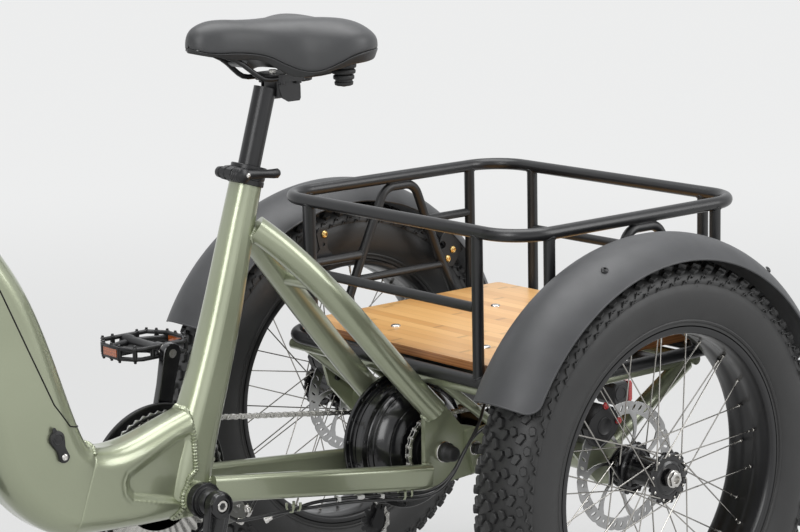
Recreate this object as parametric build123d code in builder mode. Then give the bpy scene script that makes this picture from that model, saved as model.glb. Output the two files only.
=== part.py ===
from build123d import *
from math import asin, atan2, cos, degrees, pi, radians, sin, sqrt
import os

# Electric cargo tricycle: one steered wheel in front, two wheels on a rear axle that also
# carries a basket. +X points forward, +Y to the rider's left, +Z up; the ground is z = 0.

# ---------------------------------------------------------------- driving dimensions
WHEELBASE = 1195.0
TRACK = 682.0
TYRE_RADIUS = 296.0
TYRE_WIDTH = 100.0
RIM_SEAT_RADIUS = 205.0
RIM_FLANGE_RADIUS = 210.0
RIM_INNER_RADIUS = 194.0
RIM_WIDTH = 82.0
RIM_LIP = 3.0
HUB_FLANGE_RADIUS = 36.0
HUB_FLANGE_THICK = 5.0
HUB_SHELL_RADIUS = 21.0
SPOKE_RADIUS = 1.2
SPOKES_PER_SIDE = 18
ROTOR_RADIUS = 90.0
ROTOR_THICK = 2.0
WHEEL_AXLE_RADIUS = 7.5
RUNNING_GAP = 0.3

FENDER_RADIUS = TYRE_RADIUS + 32.0
FENDER_DROP = 29.0
FENDER_THICK = 2.5
REAR_FENDER_WIDTH = TYRE_WIDTH + 18.0
FRONT_FENDER_WIDTH = TYRE_WIDTH + 12.0
REAR_FENDER_FRONT_DEG = 27.0
REAR_FENDER_REAR_DEG = 160.0

HEAD_ANGLE = 69.0
FORK_OFFSET = 45.0
FORK_LEG_Y = TYRE_WIDTH / 2 + 29.0
FORK_LEG_RADIUS = 19.0
STANCHION_RADIUS = 15.0
CROWN_START = TYRE_RADIUS + 84.0
CROWN_HEIGHT = 35.0
HEAD_TUBE_START = CROWN_START + 52.0
HEAD_TUBE_LENGTH = 180.0
HEAD_TUBE_RADIUS = 28.0
STEERER_RADIUS = 15.0

BASKET_FRONT = 164.5
BASKET_REAR = -274.0
BASKET_HALF_WIDTH = 258.0
BASKET_TOP = 628.0
BASKET_BOTTOM = 422.0
BASKET_TUBE_RADIUS = 9.0
BASKET_CORNER = 60.0
DECK_THICK = 12.0

BB_X = 527.0
BB_Z = 304.0
BB_HALF_WIDTH = 37.0
BB_RADIUS = 23.0
CRANK_LENGTH = 175.0
CRANK_ARM_THICK = 13.0
CRANK_ANGLE = 102.8
SPINDLE_RADIUS = 8.0
GUARD_RADIUS = 110.0
DRIVE_CHAIN_Y = -54.0
PEDAL_LENGTH = 112.0
PEDAL_WIDTH = 96.0
PEDAL_THICK = 24.0

MOTOR_X = 130.0
MOTOR_Z = 297.0
MOTOR_FLANGE_RADIUS = 96.0
MOTOR_DRUM_RADIUS = 85.0
MOTOR_AXLE_RADIUS = 6.0
AXLE_CHAIN_Y = 44.0
DROPOUT_Y = 58.0
DROPOUT_THICK = 8.0
CHAIN_HEIGHT = 8.6
CHAIN_PITCH = 12.7
CHAIN_GAP = 4.0
CHAIN_PLATE_THICK = 1.4

SEAT_TUBE_TOP = 709.0
SEAT_POST_RADIUS = 15.0
SEAT_TUBE_WALL = 5.5
SEAT_POST_TOP = 826.0
SEAT_POST_BOTTOM = 560.0

# Left-right places on the rear axle
HUB_FLANGE_IN = -35.0
HUB_FLANGE_OUT = 30.0
ROTOR_OFFSET = -51.0
AXLE_TUBE_RADIUS = 21.0
AXLE_TUBE_END = TRACK / 2 - 79.0

# The middle of the overall length is x = 0.
REAR_REACH = FENDER_RADIUS * cos(radians(180.0 - REAR_FENDER_REAR_DEG))
REAR_X = (REAR_REACH - WHEELBASE - TYRE_RADIUS) / 2
WHEEL_Z = TYRE_RADIUS


def at(dx, y, z):
    """A point given from the rear axle line along X and from the ground in Z."""
    return (REAR_X + dx, y, z)


def axis_plane(centre):
    """A plane whose first axis runs left and whose second runs up, seen from the front."""
    return Plane(origin=centre, x_dir=(0, 1, 0), z_dir=(1, 0, 0))


def side_plane(y):
    """A side view plane, looking along +Y: local x is +X and local y is +Z."""
    return Plane(origin=(REAR_X, y, 0), x_dir=(1, 0, 0), z_dir=(0, -1, 0))


def rod(start, end, radius):
    """Adds a straight round bar from one point to another."""
    run = Vector(*end) - Vector(*start)
    with BuildSketch(Plane(origin=start, z_dir=run)) as section:
        Circle(radius)
    extrude(section.sketch, amount=run.length)


def bent_tube(points, bend, radius):
    """Adds a round tube along straight runs joined by arcs."""
    with BuildLine() as run:
        FilletPolyline(*points, radius=bend)
    with BuildSketch(Plane(origin=run.line @ 0, z_dir=run.line % 0)) as section:
        Circle(radius)
    sweep(section.sketch, path=run.line)


def disc(x, z, y_low, y_high, radius, bore=0.0):
    """Adds a disc or ring whose axis runs along Y."""
    with BuildSketch(side_plane(y_high)) as face:
        with Locations((x, z)):
            Circle(radius)
            if bore:
                Circle(bore, mode=Mode.SUBTRACT)
    extrude(face.sketch, amount=y_high - y_low)


def plate(points, y_low, y_high):
    """Adds a flat plate with a side-view outline."""
    with BuildSketch(side_plane(y_high)) as face:
        with BuildLine():
            Polyline(*points, close=True)
        make_face()
    extrude(face.sketch, amount=y_high - y_low)


def finish(name, builder):
    builder.part.label = name
    export_step(builder.part, "parts/" + name + ".step")


os.makedirs("parts", exist_ok=True)


# ---------------------------------------------------------------- wheels
def tyre(name, centre):
    half_seat = RIM_WIDTH / 2 - RIM_LIP
    half_rim = RIM_WIDTH / 2
    half = TYRE_WIDTH / 2
    bulge = (RIM_FLANGE_RADIUS + TYRE_RADIUS) / 2 - 3
    shoulder_r = TYRE_RADIUS - 17
    shoulder = half - 7
    with BuildPart() as ring:
        with BuildSketch(axis_plane(centre)):
            with BuildLine():
                left = Polyline((0, RIM_SEAT_RADIUS), (-half_seat, RIM_SEAT_RADIUS),
                                (-half_seat, RIM_FLANGE_RADIUS), (-half_rim, RIM_FLANGE_RADIUS))
                ThreePointArc(left @ 1, (-half, bulge), (-shoulder, shoulder_r))
                ThreePointArc((-shoulder, shoulder_r), (0, TYRE_RADIUS), (shoulder, shoulder_r))
                right = Polyline((0, RIM_SEAT_RADIUS), (half_seat, RIM_SEAT_RADIUS),
                                 (half_seat, RIM_FLANGE_RADIUS), (half_rim, RIM_FLANGE_RADIUS))
                ThreePointArc(right @ 1, (half, bulge), (shoulder, shoulder_r))
            make_face()
        revolve(axis=Axis(centre, (0, 1, 0)))
    finish(name, ring)


def rim(name, centre):
    half = RIM_WIDTH / 2
    seat = half - RIM_LIP
    slant = 6.0
    with BuildPart() as ring:
        with BuildSketch(axis_plane(centre)):
            with BuildLine():
                Polyline((-seat, RIM_SEAT_RADIUS), (-seat, RIM_FLANGE_RADIUS), (-half, RIM_FLANGE_RADIUS),
                         (-half, RIM_INNER_RADIUS + slant), (slant - half, RIM_INNER_RADIUS),
                         (half - slant, RIM_INNER_RADIUS), (half, RIM_INNER_RADIUS + slant),
                         (half, RIM_FLANGE_RADIUS), (seat, RIM_FLANGE_RADIUS), (seat, RIM_SEAT_RADIUS),
                         close=True)
            make_face()
        revolve(axis=Axis(centre, (0, 1, 0)))
    finish(name, ring)


SPOKE_SWING = 62.0
SPOKE_CIRCLE = HUB_FLANGE_RADIUS - 5.0
NIPPLE_Y = 9.0
OUTER_SKEW = 1.8
INNER_SKEW = 0.4


def spokes(name, centre, side, flanges):
    """Laced spokes: each flange has as many leading as trailing ones."""
    cx, cy, cz = centre
    step = 360.0 / SPOKES_PER_SIDE
    hub_r = SPOKE_CIRCLE
    rim_r = RIM_INNER_RADIUS - 0.5
    with BuildPart() as lacing:
        for number, flange in enumerate(flanges):
            for index in range(SPOKES_PER_SIDE):
                lead = 1 if index % 2 else -1
                hub_deg = step * index + step / 2 * number
                rim_deg = hub_deg + lead * SPOKE_SWING
                apart = OUTER_SKEW if lead * flange > 0 else INNER_SKEW
                skew = lead * (HUB_FLANGE_THICK / 2 + SPOKE_RADIUS + apart)
                rim_a = NIPPLE_Y if flange > 0 else -NIPPLE_Y
                start = (cx + hub_r * cos(radians(hub_deg)), cy + side * (flange + skew),
                         cz + hub_r * sin(radians(hub_deg)))
                end = (cx + rim_r * cos(radians(rim_deg)), cy + side * (rim_a + 0.5 * skew),
                       cz + rim_r * sin(radians(rim_deg)))
                rod(start, end, SPOKE_RADIUS)
    finish(name, lacing)


ROTOR_BAND = 17.0
ROTOR_SEAT_RADIUS = 27.0
DISC_MOUNT_RADIUS = WHEEL_AXLE_RADIUS + 9.0


def rotor(name, centre_x, y):
    """Brake disc: a holed braking band on six arms and a mounting ring."""
    band_in = ROTOR_RADIUS - ROTOR_BAND
    with BuildPart() as blade:
        with BuildSketch(side_plane(y + ROTOR_THICK / 2)):
            with Locations((centre_x, WHEEL_Z)):
                Circle(ROTOR_RADIUS)
                Circle(band_in, mode=Mode.SUBTRACT)
                with PolarLocations(ROTOR_RADIUS - ROTOR_BAND / 2, 24):
                    Circle(3.2, mode=Mode.SUBTRACT)
            with Locations((centre_x, WHEEL_Z)):
                Circle(ROTOR_SEAT_RADIUS)
                Circle(DISC_MOUNT_RADIUS, mode=Mode.SUBTRACT)
                with PolarLocations((band_in + ROTOR_SEAT_RADIUS) / 2, 6, start_angle=10):
                    Rectangle(band_in - ROTOR_SEAT_RADIUS + 6, 9)
        extrude(amount=ROTOR_THICK)
    finish(name, blade)


def hub(name, centre, side, flange_in, flange_out, disc_mount, axle_in, axle_out):
    """Hub shell with two spoke flanges, a disc mount and the axle, along the wheel's own axis."""
    dx = centre[0] - REAR_X
    cy = centre[1]

    def ring(near, far, radius):
        ends = sorted((cy + side * near, cy + side * far))
        disc(dx, WHEEL_Z, *ends, radius)

    with BuildPart() as body:
        ring(flange_in, flange_out, HUB_SHELL_RADIUS)
        for flange in (flange_in, flange_out):
            ring(flange - HUB_FLANGE_THICK / 2, flange + HUB_FLANGE_THICK / 2, HUB_FLANGE_RADIUS)
        ring(disc_mount - ROTOR_THICK / 2 - 1.0, disc_mount + ROTOR_THICK / 2 + 1.0, DISC_MOUNT_RADIUS)
        ring(min(flange_in, disc_mount), max(flange_in, disc_mount), WHEEL_AXLE_RADIUS + 6)
        ring(axle_in, axle_out, WHEEL_AXLE_RADIUS)
        ring(axle_out - 9, axle_out - 1, WHEEL_AXLE_RADIUS + 5)
    finish(name, body)


AXLE_IN_TUBE = 60.0
AXLE_OUT = 47.0
FRONT_FLANGE_Y = 33.0
FRONT_ROTOR_Y = 49.0
FRONT_AXLE_END = FORK_LEG_Y - 16.0

for side, word in ((1, "left"), (-1, "right")):
    centre = at(0, side * TRACK / 2, WHEEL_Z)
    tyre("rear_tyre_" + word, centre)
    rim("rear_rim_" + word, centre)
    spokes("rear_spokes_" + word, centre, side, (HUB_FLANGE_IN, HUB_FLANGE_OUT))
    rotor("rear_rotor_" + word, 0, centre[1] + side * ROTOR_OFFSET)
    hub("rear_hub_" + word, centre, side, HUB_FLANGE_IN, HUB_FLANGE_OUT, ROTOR_OFFSET,
        AXLE_TUBE_END - AXLE_IN_TUBE - TRACK / 2, AXLE_OUT)

front_centre = at(WHEELBASE, 0, WHEEL_Z)
tyre("front_tyre", front_centre)
rim("front_rim", front_centre)
spokes("front_spokes", front_centre, 1, (-FRONT_FLANGE_Y, FRONT_FLANGE_Y))
rotor("front_rotor", WHEELBASE, FRONT_ROTOR_Y)
hub("front_hub", front_centre, 1, FRONT_FLANGE_Y, -FRONT_FLANGE_Y, FRONT_ROTOR_Y, -FRONT_AXLE_END,
    FRONT_AXLE_END)


# ---------------------------------------------------------------- frame
def head_point(s, forward=0.0, y=0.0):
    """A point at distance s up the steering axis and forward of it."""
    up = Vector(-cos(radians(HEAD_ANGLE)), 0, sin(radians(HEAD_ANGLE)))
    front = Vector(sin(radians(HEAD_ANGLE)), 0, cos(radians(HEAD_ANGLE)))
    foot = Vector(*at(WHEELBASE, 0, WHEEL_Z)) - front * FORK_OFFSET
    point = foot + up * s + front * forward + Vector(0, y, 0)
    return (point.X, point.Y, point.Z)


def head_plane(s):
    """A plane square to the steering axis, local x forward and local y left."""
    return Plane(origin=head_point(s), x_dir=(sin(radians(HEAD_ANGLE)), 0, cos(radians(HEAD_ANGLE))),
                 z_dir=(-cos(radians(HEAD_ANGLE)), 0, sin(radians(HEAD_ANGLE))))


def tube_section(dx, z, tilt, width, depth, corner):
    """A rounded section of a shaped tube that runs forward and up at the tilt."""
    direction = (cos(radians(tilt)), 0, sin(radians(tilt)))
    with BuildSketch(Plane(origin=at(dx, 0, z), x_dir=(0, 1, 0), z_dir=direction)) as section:
        RectangleRounded(width, depth, corner)
    return section.sketch


with BuildPart() as head_shell:
    with BuildSketch(head_plane(HEAD_TUBE_START)):
        Circle(HEAD_TUBE_RADIUS)
    extrude(amount=HEAD_TUBE_LENGTH)

head_mid = Vector(*head_point(HEAD_TUBE_START + HEAD_TUBE_LENGTH / 2 + 8))

# The down tube's sections: how far behind the front axle, height, slope, width, depth, corner
FOOT_SECTION = (495, 346, 19.7, 74, 119, 26)
DOWN_TUBE_SECTIONS = (FOOT_SECTION, (469, 360, 45, 78, 124, 28), (450.5, 378, 64.4, 80, 129.7, 30),
                      (403.6, 509.4, 68, 80, 126, 30), (353.6, 625.6, 64, 74, 120, 28),
                      (302, 712, 54, 62, 114, 24))
PAST_HEAD = 60.0


def front_section(behind, *shape):
    """A tube section placed behind the front axle."""
    return tube_section(WHEELBASE - behind, *shape)


with BuildPart() as down_shell:
    sections = [front_section(*section) for section in DOWN_TUBE_SECTIONS]
    sections.append(tube_section(head_mid.X - REAR_X, head_mid.Z, 90 - HEAD_ANGLE, 44, 126, 20))
    loft(sections)
    add(head_shell.part, mode=Mode.SUBTRACT)
    # What the far side of the head tube leaves over is cut away.
    with BuildSketch(head_plane(HEAD_TUBE_START - PAST_HEAD / 2)):
        with Locations((HEAD_TUBE_RADIUS + PAST_HEAD, 0)):
            Rectangle(2 * PAST_HEAD + 2 * HEAD_TUBE_RADIUS, 2 * PAST_HEAD)
    extrude(amount=HEAD_TUBE_LENGTH + PAST_HEAD, mode=Mode.SUBTRACT)

# The battery's cover is the rear wall of the down tube, from above the bend to the top. The
# outline gives how far behind the front axle and how high.
SEAM = 0.6
COVER_HALF = 60.0
COVER_OUTLINE = ((555, 431), (495, 431), (473, 438), (450, 470), (417, 545), (384, 622), (343, 695),
                 (357, 728), (415, 780), (595, 640))
cover_points = [(WHEELBASE - behind, z) for behind, z in COVER_OUTLINE]

with BuildPart() as battery_cover:
    add(down_shell.part)
    with BuildSketch(side_plane(COVER_HALF)):
        with BuildLine():
            Polyline(*cover_points, close=True)
        make_face()
    extrude(amount=2 * COVER_HALF, mode=Mode.INTERSECT)
finish("battery_cover", battery_cover)

with BuildPart() as down_tube:
    add(down_shell.part)
    with BuildSketch(side_plane(COVER_HALF)):
        with BuildLine():
            Polyline(*cover_points, close=True)
        make_face()
        offset(amount=SEAM, kind=Kind.INTERSECTION)
    extrude(amount=2 * COVER_HALF, mode=Mode.SUBTRACT)
finish("down_tube", down_tube)

with BuildPart() as head_tube:
    with BuildSketch(head_plane(HEAD_TUBE_START)):
        Circle(HEAD_TUBE_RADIUS)
        Circle(STEERER_RADIUS + RUNNING_GAP, mode=Mode.SUBTRACT)
    extrude(amount=HEAD_TUBE_LENGTH)
finish("head_tube", head_tube)

# The seat tube's sections: height, place, depth and width; the top ones follow the post's size.
TUBE_MOUTH = 2 * (SEAT_POST_RADIUS + SEAT_TUBE_WALL)
SEAT_TUBE_X = 409.0
SEAT_TUBE_SECTIONS = ((282, 531, 72, 58), (304, 530, 72, 58), (423, 495, 63, 50), (553, 452.5, 52, 44),
                      (684, 416.5, TUBE_MOUTH + 2, TUBE_MOUTH),
                      (SEAT_TUBE_TOP, SEAT_TUBE_X, TUBE_MOUTH + 1, TUBE_MOUTH))
POST_LEAN = radians(16.8)
POST_DIRECTION = Vector(-sin(POST_LEAN), 0, cos(POST_LEAN))
POST_BORE_DEPTH = 280.0


def post_point(z, y=0.0):
    """A point on the seat post's centre line at a height."""
    return at(SEAT_TUBE_X - (z - SEAT_TUBE_TOP) * sin(POST_LEAN) / cos(POST_LEAN), y, z)


def bore_along_y(dx, z, half_length, radius):
    """Cuts a round hole along Y through the current part."""
    with BuildSketch(side_plane(half_length)) as face:
        with Locations((dx, z)):
            Circle(radius)
    extrude(face.sketch, amount=2 * half_length, mode=Mode.SUBTRACT)


# The seat tube's outside, with the bottom bracket shell across its foot
with BuildPart() as seat_shell:
    for z, dx, depth, width in SEAT_TUBE_SECTIONS:
        with BuildSketch(Plane(origin=at(dx, 0, z), x_dir=(1, 0, 0), z_dir=(0, 0, 1))):
            RectangleRounded(depth, width, width * 0.42)
    loft()
    disc(BB_X, BB_Z, -BB_HALF_WIDTH, BB_HALF_WIDTH, BB_RADIUS)

with BuildPart() as seat_tube:
    add(seat_shell.part)
    bore_along_y(BB_X, BB_Z, BB_HALF_WIDTH + 1, SPINDLE_RADIUS + 4)
    with BuildSketch(Plane(origin=post_point(SEAT_TUBE_TOP + 20), z_dir=-POST_DIRECTION)):
        Circle(SEAT_POST_RADIUS + RUNNING_GAP)
    extrude(amount=POST_BORE_DEPTH + 20, mode=Mode.SUBTRACT)
finish("seat_tube", seat_tube)

BEAM_START_X = BB_X - 27.0
with BuildPart() as lower_beam:
    loft([tube_section(BEAM_START_X, 352, 2, 56, 146, 20),
          tube_section(BEAM_START_X + 60, 345, 3, 58, 134, 22),
          front_section(555, 338, 8, 66, 112, 25),
          front_section(*FOOT_SECTION)])
    add(seat_shell.part, mode=Mode.SUBTRACT)
    # What the seat tube leaves over behind the bottom bracket is cut away.
    with BuildSketch(side_plane(COVER_HALF)):
        with Locations((BEAM_START_X - 60, 352)):
            Rectangle(2 * (BB_X - BEAM_START_X + 60), 400)
    extrude(amount=2 * COVER_HALF, mode=Mode.SUBTRACT)
finish("lower_beam", lower_beam)


def span(side, near, far):
    """The low and high Y of a piece that lies between two distances from the middle."""
    return min(side * near, side * far), max(side * near, side * far)


BB_CUP_THICK = 6.0
with BuildPart() as bottom_bracket:
    for side in (1, -1):
        cup = span(side, BB_HALF_WIDTH, BB_HALF_WIDTH + BB_CUP_THICK)
        disc(BB_X, BB_Z, *cup, BB_RADIUS - 1, SPINDLE_RADIUS + RUNNING_GAP)
finish("bottom_bracket", bottom_bracket)

# Dropout plates, one each side, that carry the motor's axle
DROPOUT_OUTLINE = ((165, 283), (163, 250), (80, 254), (72, 262), (70, 322), (98, 330), (128, 364),
                   (154, 372), (164, 352))
with BuildPart() as dropouts:
    for side in (1, -1):
        plate(DROPOUT_OUTLINE, *span(side, DROPOUT_Y, DROPOUT_Y + DROPOUT_THICK))
    bore_along_y(MOTOR_X, MOTOR_Z, DROPOUT_Y + DROPOUT_THICK + 1, MOTOR_AXLE_RADIUS)
finish("dropouts", dropouts)

CHAIN_STAY_HEIGHT = 36.0
CHAIN_STAY_WIDTH = 18.0
STAY_Y_FRONT = 33.0
STAY_Y_REAR = DROPOUT_Y + 9.5
with BuildPart() as chain_stays:
    for side in (1, -1):
        start = Vector(*at(BB_X - 22, side * STAY_Y_FRONT, BB_Z + 8))
        end = Vector(*at(163, side * STAY_Y_REAR, 267))
        with BuildSketch(Plane(origin=start, x_dir=(0, 1, 0), z_dir=end - start)):
            RectangleRounded(CHAIN_STAY_WIDTH, CHAIN_STAY_HEIGHT, 8)
        extrude(amount=(end - start).length + 4)
    add(seat_shell.part, mode=Mode.SUBTRACT)
    add(bottom_bracket.part, mode=Mode.SUBTRACT)
    add(dropouts.part, mode=Mode.SUBTRACT)
finish("chain_stays", chain_stays)

SEAT_STAY_RADIUS = 17.5
STAY_BRIDGE = (322.0, 46.0, 558.0)
STAY_BRIDGE_RADIUS = 9.0
with BuildPart() as seat_stays:
    for side in (1, -1):
        with BuildLine() as run:
            Spline(at(408, side * 14, 645), at(325, side * 45, 562), at(218, side * 60, 438),
                   at(146, side * (STAY_Y_REAR - 2), 359))
        with BuildSketch(Plane(origin=run.line @ 0, z_dir=run.line % 0)):
            Circle(SEAT_STAY_RADIUS)
        sweep(path=run.line)
    bridge_x, bridge_y, bridge_z = STAY_BRIDGE
    rod(at(bridge_x, -bridge_y, bridge_z), at(bridge_x, bridge_y, bridge_z), STAY_BRIDGE_RADIUS)
    add(seat_shell.part, mode=Mode.SUBTRACT)
    add(dropouts.part, mode=Mode.SUBTRACT)
finish("seat_stays", seat_stays)

# ---------------------------------------------------------------- basket and deck
def rail_loop(z):
    """Adds the basket's rounded rectangular rail at a height."""
    rear = REAR_X + BASKET_REAR
    front = REAR_X + BASKET_FRONT
    side = BASKET_HALF_WIDTH
    for y in (-side, side):
        rod((rear + BASKET_CORNER, y, z), (front - BASKET_CORNER, y, z), BASKET_TUBE_RADIUS)
    for x in (rear, front):
        rod((x, BASKET_CORNER - side, z), (x, side - BASKET_CORNER, z), BASKET_TUBE_RADIUS)
    for x, end in ((rear + BASKET_CORNER, -1), (front - BASKET_CORNER, 1)):
        for hand in (-1, 1):
            centre = (x, hand * (side - BASKET_CORNER), z)
            start = (x + end * BASKET_CORNER, centre[1], z)
            with BuildSketch(Plane(origin=start, z_dir=(0, 1, 0))) as section:
                Circle(BASKET_TUBE_RADIUS)
            revolve(section.sketch, axis=Axis(centre, (0, 0, 1)), revolution_arc=90 * end * hand)


POST_SINK = 3.0
POST_RADIUS = 8.0
POST_Y = BASKET_HALF_WIDTH - 79.0
SIDE_POSTS = (BASKET_FRONT - 57.5, BASKET_REAR + 60.0)
POST_LOW = BASKET_BOTTOM - POST_SINK
POST_HIGH = BASKET_TOP + POST_SINK
FLOOR_BARS = (-200.0, -95.0, 10.0, 115.0)
FLOOR_BAR_RADIUS = 8.6
FLOOR_TOP = BASKET_BOTTOM + BASKET_TUBE_RADIUS
WELD_GAP = 0.3
HOOP_RADIUS = 7.0
HOOP_BEND = 26.0
HOOP_TOP = BASKET_TOP - 14.0
HOOP_LINE = ((-184, POST_LOW), (-143, BASKET_BOTTOM + 85), (-100, HOOP_TOP), (-42, HOOP_TOP),
             (2, BASKET_BOTTOM + 102), (48, POST_LOW))
# Side bars between two places along X, at a height, with a radius
SIDE_BARS = ((SIDE_POSTS[0], 8, BASKET_BOTTOM + 95, 6.5), (-152, 20, BASKET_BOTTOM + 58, 6),
             (-124, SIDE_POSTS[1], BASKET_BOTTOM + 133, 6.5))
# End bars between the two posts of an end, at a height, with a radius
END_BARS = ((BASKET_FRONT, BASKET_BOTTOM + 102, 7), (BASKET_REAR, BASKET_BOTTOM + 108, 7))
POSTS = [(dx, side * POST_Y) for dx in (BASKET_FRONT, BASKET_REAR) for side in (1, -1)]
POSTS += [(dx, side * BASKET_HALF_WIDTH) for dx in SIDE_POSTS for side in (1, -1)]

with BuildPart() as basket_rim:
    rail_loop(BASKET_TOP)
finish("basket_rim", basket_rim)

with BuildPart() as basket_floor:
    rail_loop(BASKET_BOTTOM)
    for dx in FLOOR_BARS:
        bar_z = FLOOR_TOP - FLOOR_BAR_RADIUS
        rod(at(dx, 2 - BASKET_HALF_WIDTH, bar_z), at(dx, BASKET_HALF_WIDTH - 2, bar_z), FLOOR_BAR_RADIUS)
finish("basket_floor", basket_floor)

with BuildPart() as basket_hoops:
    for side in (1, -1):
        bent_tube([at(dx, side * BASKET_HALF_WIDTH, z) for dx, z in HOOP_LINE], HOOP_BEND, HOOP_RADIUS)
    add(basket_rim.part, mode=Mode.SUBTRACT)
    add(basket_floor.part, mode=Mode.SUBTRACT)
finish("basket_hoops", basket_hoops)

with BuildPart() as bars:
    for side in (1, -1):
        y = side * BASKET_HALF_WIDTH
        for near, far, z, radius in SIDE_BARS:
            rod(at(near, y, z), at(far, y, z), radius)
    for dx, z, radius in END_BARS:
        rod(at(dx, -POST_Y, z), at(dx, POST_Y, z), radius)
    add(basket_hoops.part, mode=Mode.SUBTRACT)
    for dx, y in POSTS:
        with BuildSketch(Plane(origin=at(dx, y, POST_LOW))) as face:
            Circle(POST_RADIUS + WELD_GAP)
        extrude(face.sketch, amount=POST_HIGH - POST_LOW, mode=Mode.SUBTRACT)

with BuildPart() as basket_posts:
    for dx, y in POSTS:
        rod(at(dx, y, POST_LOW), at(dx, y, POST_HIGH), POST_RADIUS)
    add(basket_rim.part, mode=Mode.SUBTRACT)
    add(basket_floor.part, mode=Mode.SUBTRACT)
    add(bars.part)
finish("basket_posts", basket_posts)

DECK_FRONT = BASKET_FRONT - 14.5
DECK_REAR = BASKET_REAR + 29.0
DECK_HALF_WIDTH = BASKET_HALF_WIDTH - 30.0
with BuildPart() as cargo_deck:
    with BuildSketch(Plane.XY.offset(FLOOR_TOP)):
        with Locations((REAR_X + (DECK_FRONT + DECK_REAR) / 2, 0)):
            RectangleRounded(DECK_FRONT - DECK_REAR, 2 * DECK_HALF_WIDTH, 8)
    extrude(amount=DECK_THICK)
finish("cargo_deck", cargo_deck)

# The rear axle: bolted brackets, axle tubes, bearing carriers and caliper plates
BRACKET_Y = DROPOUT_Y + DROPOUT_THICK
BRACKET_THICK = 7.0
BRACKET_OUTLINE = ((92, 320), (92, 300), (78, 256), (-26, 250), (-34, 296), (-26, 326))
CALIPER_PLATE_OUTLINE = ((-22, 276), (22, 268), (74, 326), (84, 362), (64, 392), (30, 380), (10, 330),
                         (-22, 322))
CALIPER_PLATE_Y = AXLE_TUBE_END - 4.0
CALIPER_PLATE_THICK = 6.0
CARRIER_RADIUS = 31.0
CARRIER_THICK = 20.0
JOURNAL_RADIUS = 15.0
JOURNAL_LENGTH = 12.0


with BuildPart() as axle_tubes:
    for side in (1, -1):
        disc(0, WHEEL_Z, *span(side, BRACKET_Y, AXLE_TUBE_END), AXLE_TUBE_RADIUS)
        plate(BRACKET_OUTLINE, *span(side, BRACKET_Y, BRACKET_Y + BRACKET_THICK))
        disc(0, WHEEL_Z, *span(side, AXLE_TUBE_END - CARRIER_THICK, AXLE_TUBE_END), CARRIER_RADIUS)
        plate(CALIPER_PLATE_OUTLINE, *span(side, CALIPER_PLATE_Y, CALIPER_PLATE_Y + CALIPER_PLATE_THICK))
    bore_along_y(0, WHEEL_Z, AXLE_TUBE_END + 10, WHEEL_AXLE_RADIUS + RUNNING_GAP)
    bore_along_y(0, WHEEL_Z, BRACKET_Y + JOURNAL_LENGTH + 1, JOURNAL_RADIUS + RUNNING_GAP)
finish("axle_tubes", axle_tubes)

# The subframe that stands on the axle tubes and carries the basket
SUBFRAME_RADIUS = 8.0
SUBFRAME_Z = BASKET_BOTTOM - BASKET_TUBE_RADIUS - SUBFRAME_RADIUS + 0.8
SUBFRAME_FRONT = BASKET_FRONT - 14.5
SUBFRAME_REAR = BASKET_REAR + 84.0
STRUT_Y = BASKET_HALF_WIDTH - 22.0
INNER_STRUT_Y = BRACKET_Y + 10.0
# Struts: foot along X, foot height, head along X, drop below the rails, distance from the middle, radius
STRUTS = ((-8, WHEEL_Z + 8, SUBFRAME_REAR + 14, 3, STRUT_Y, 13),
          (8, WHEEL_Z + 8, SUBFRAME_FRONT - 14, 1, STRUT_Y, 10),
          (24, WHEEL_Z + 10, SUBFRAME_FRONT - 3, 1, INNER_STRUT_Y, 7))
with BuildPart() as subframe:
    for side in (1, -1):
        rod(at(SUBFRAME_FRONT, side * STRUT_Y, SUBFRAME_Z), at(SUBFRAME_REAR, side * STRUT_Y, SUBFRAME_Z),
            SUBFRAME_RADIUS)
        for foot_x, foot_z, top_x, drop, y, radius in STRUTS:
            rod(at(foot_x, side * y, foot_z), at(top_x, side * y, SUBFRAME_Z - drop), radius)
    for dx in (SUBFRAME_FRONT, SUBFRAME_REAR):
        rod(at(dx, -STRUT_Y - 10, SUBFRAME_Z), at(dx, STRUT_Y + 10, SUBFRAME_Z), SUBFRAME_RADIUS)
    bore_along_y(0, WHEEL_Z, STRUT_Y + 20, AXLE_TUBE_RADIUS - 3)
    add(axle_tubes.part, mode=Mode.SUBTRACT)
    for rails in (basket_floor, basket_hoops, basket_posts):
        add(rails.part, mode=Mode.SUBTRACT)
finish("subframe", subframe)

# ---------------------------------------------------------------- fenders
def fender_plane(centre, start_deg):
    a = radians(start_deg)
    return Plane(origin=centre, x_dir=(0, 1, 0), z_dir=(sin(a), 0, -cos(a)))


def fender_shell(centre, width, start_deg, end_deg):
    half = width / 2
    edge = FENDER_RADIUS - FENDER_DROP
    inner = half - FENDER_THICK
    with BuildSketch(fender_plane(centre, start_deg)) as arch:
        with BuildLine():
            ThreePointArc((-half, edge), (0, FENDER_RADIUS), (half, edge))
            ThreePointArc((-inner, edge), (0, FENDER_RADIUS - FENDER_THICK), (inner, edge))
            Line((-half, edge), (-inner, edge))
            Line((half, edge), (inner, edge))
        make_face()
    revolve(arch.sketch, axis=Axis(centre, (0, -1, 0)), revolution_arc=end_deg - start_deg)


with BuildPart() as rear_fenders:
    for side in (1, -1):
        fender_shell(at(0, side * TRACK / 2, WHEEL_Z), REAR_FENDER_WIDTH, REAR_FENDER_FRONT_DEG,
                     REAR_FENDER_REAR_DEG)
finish("rear_fenders", rear_fenders)


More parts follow.
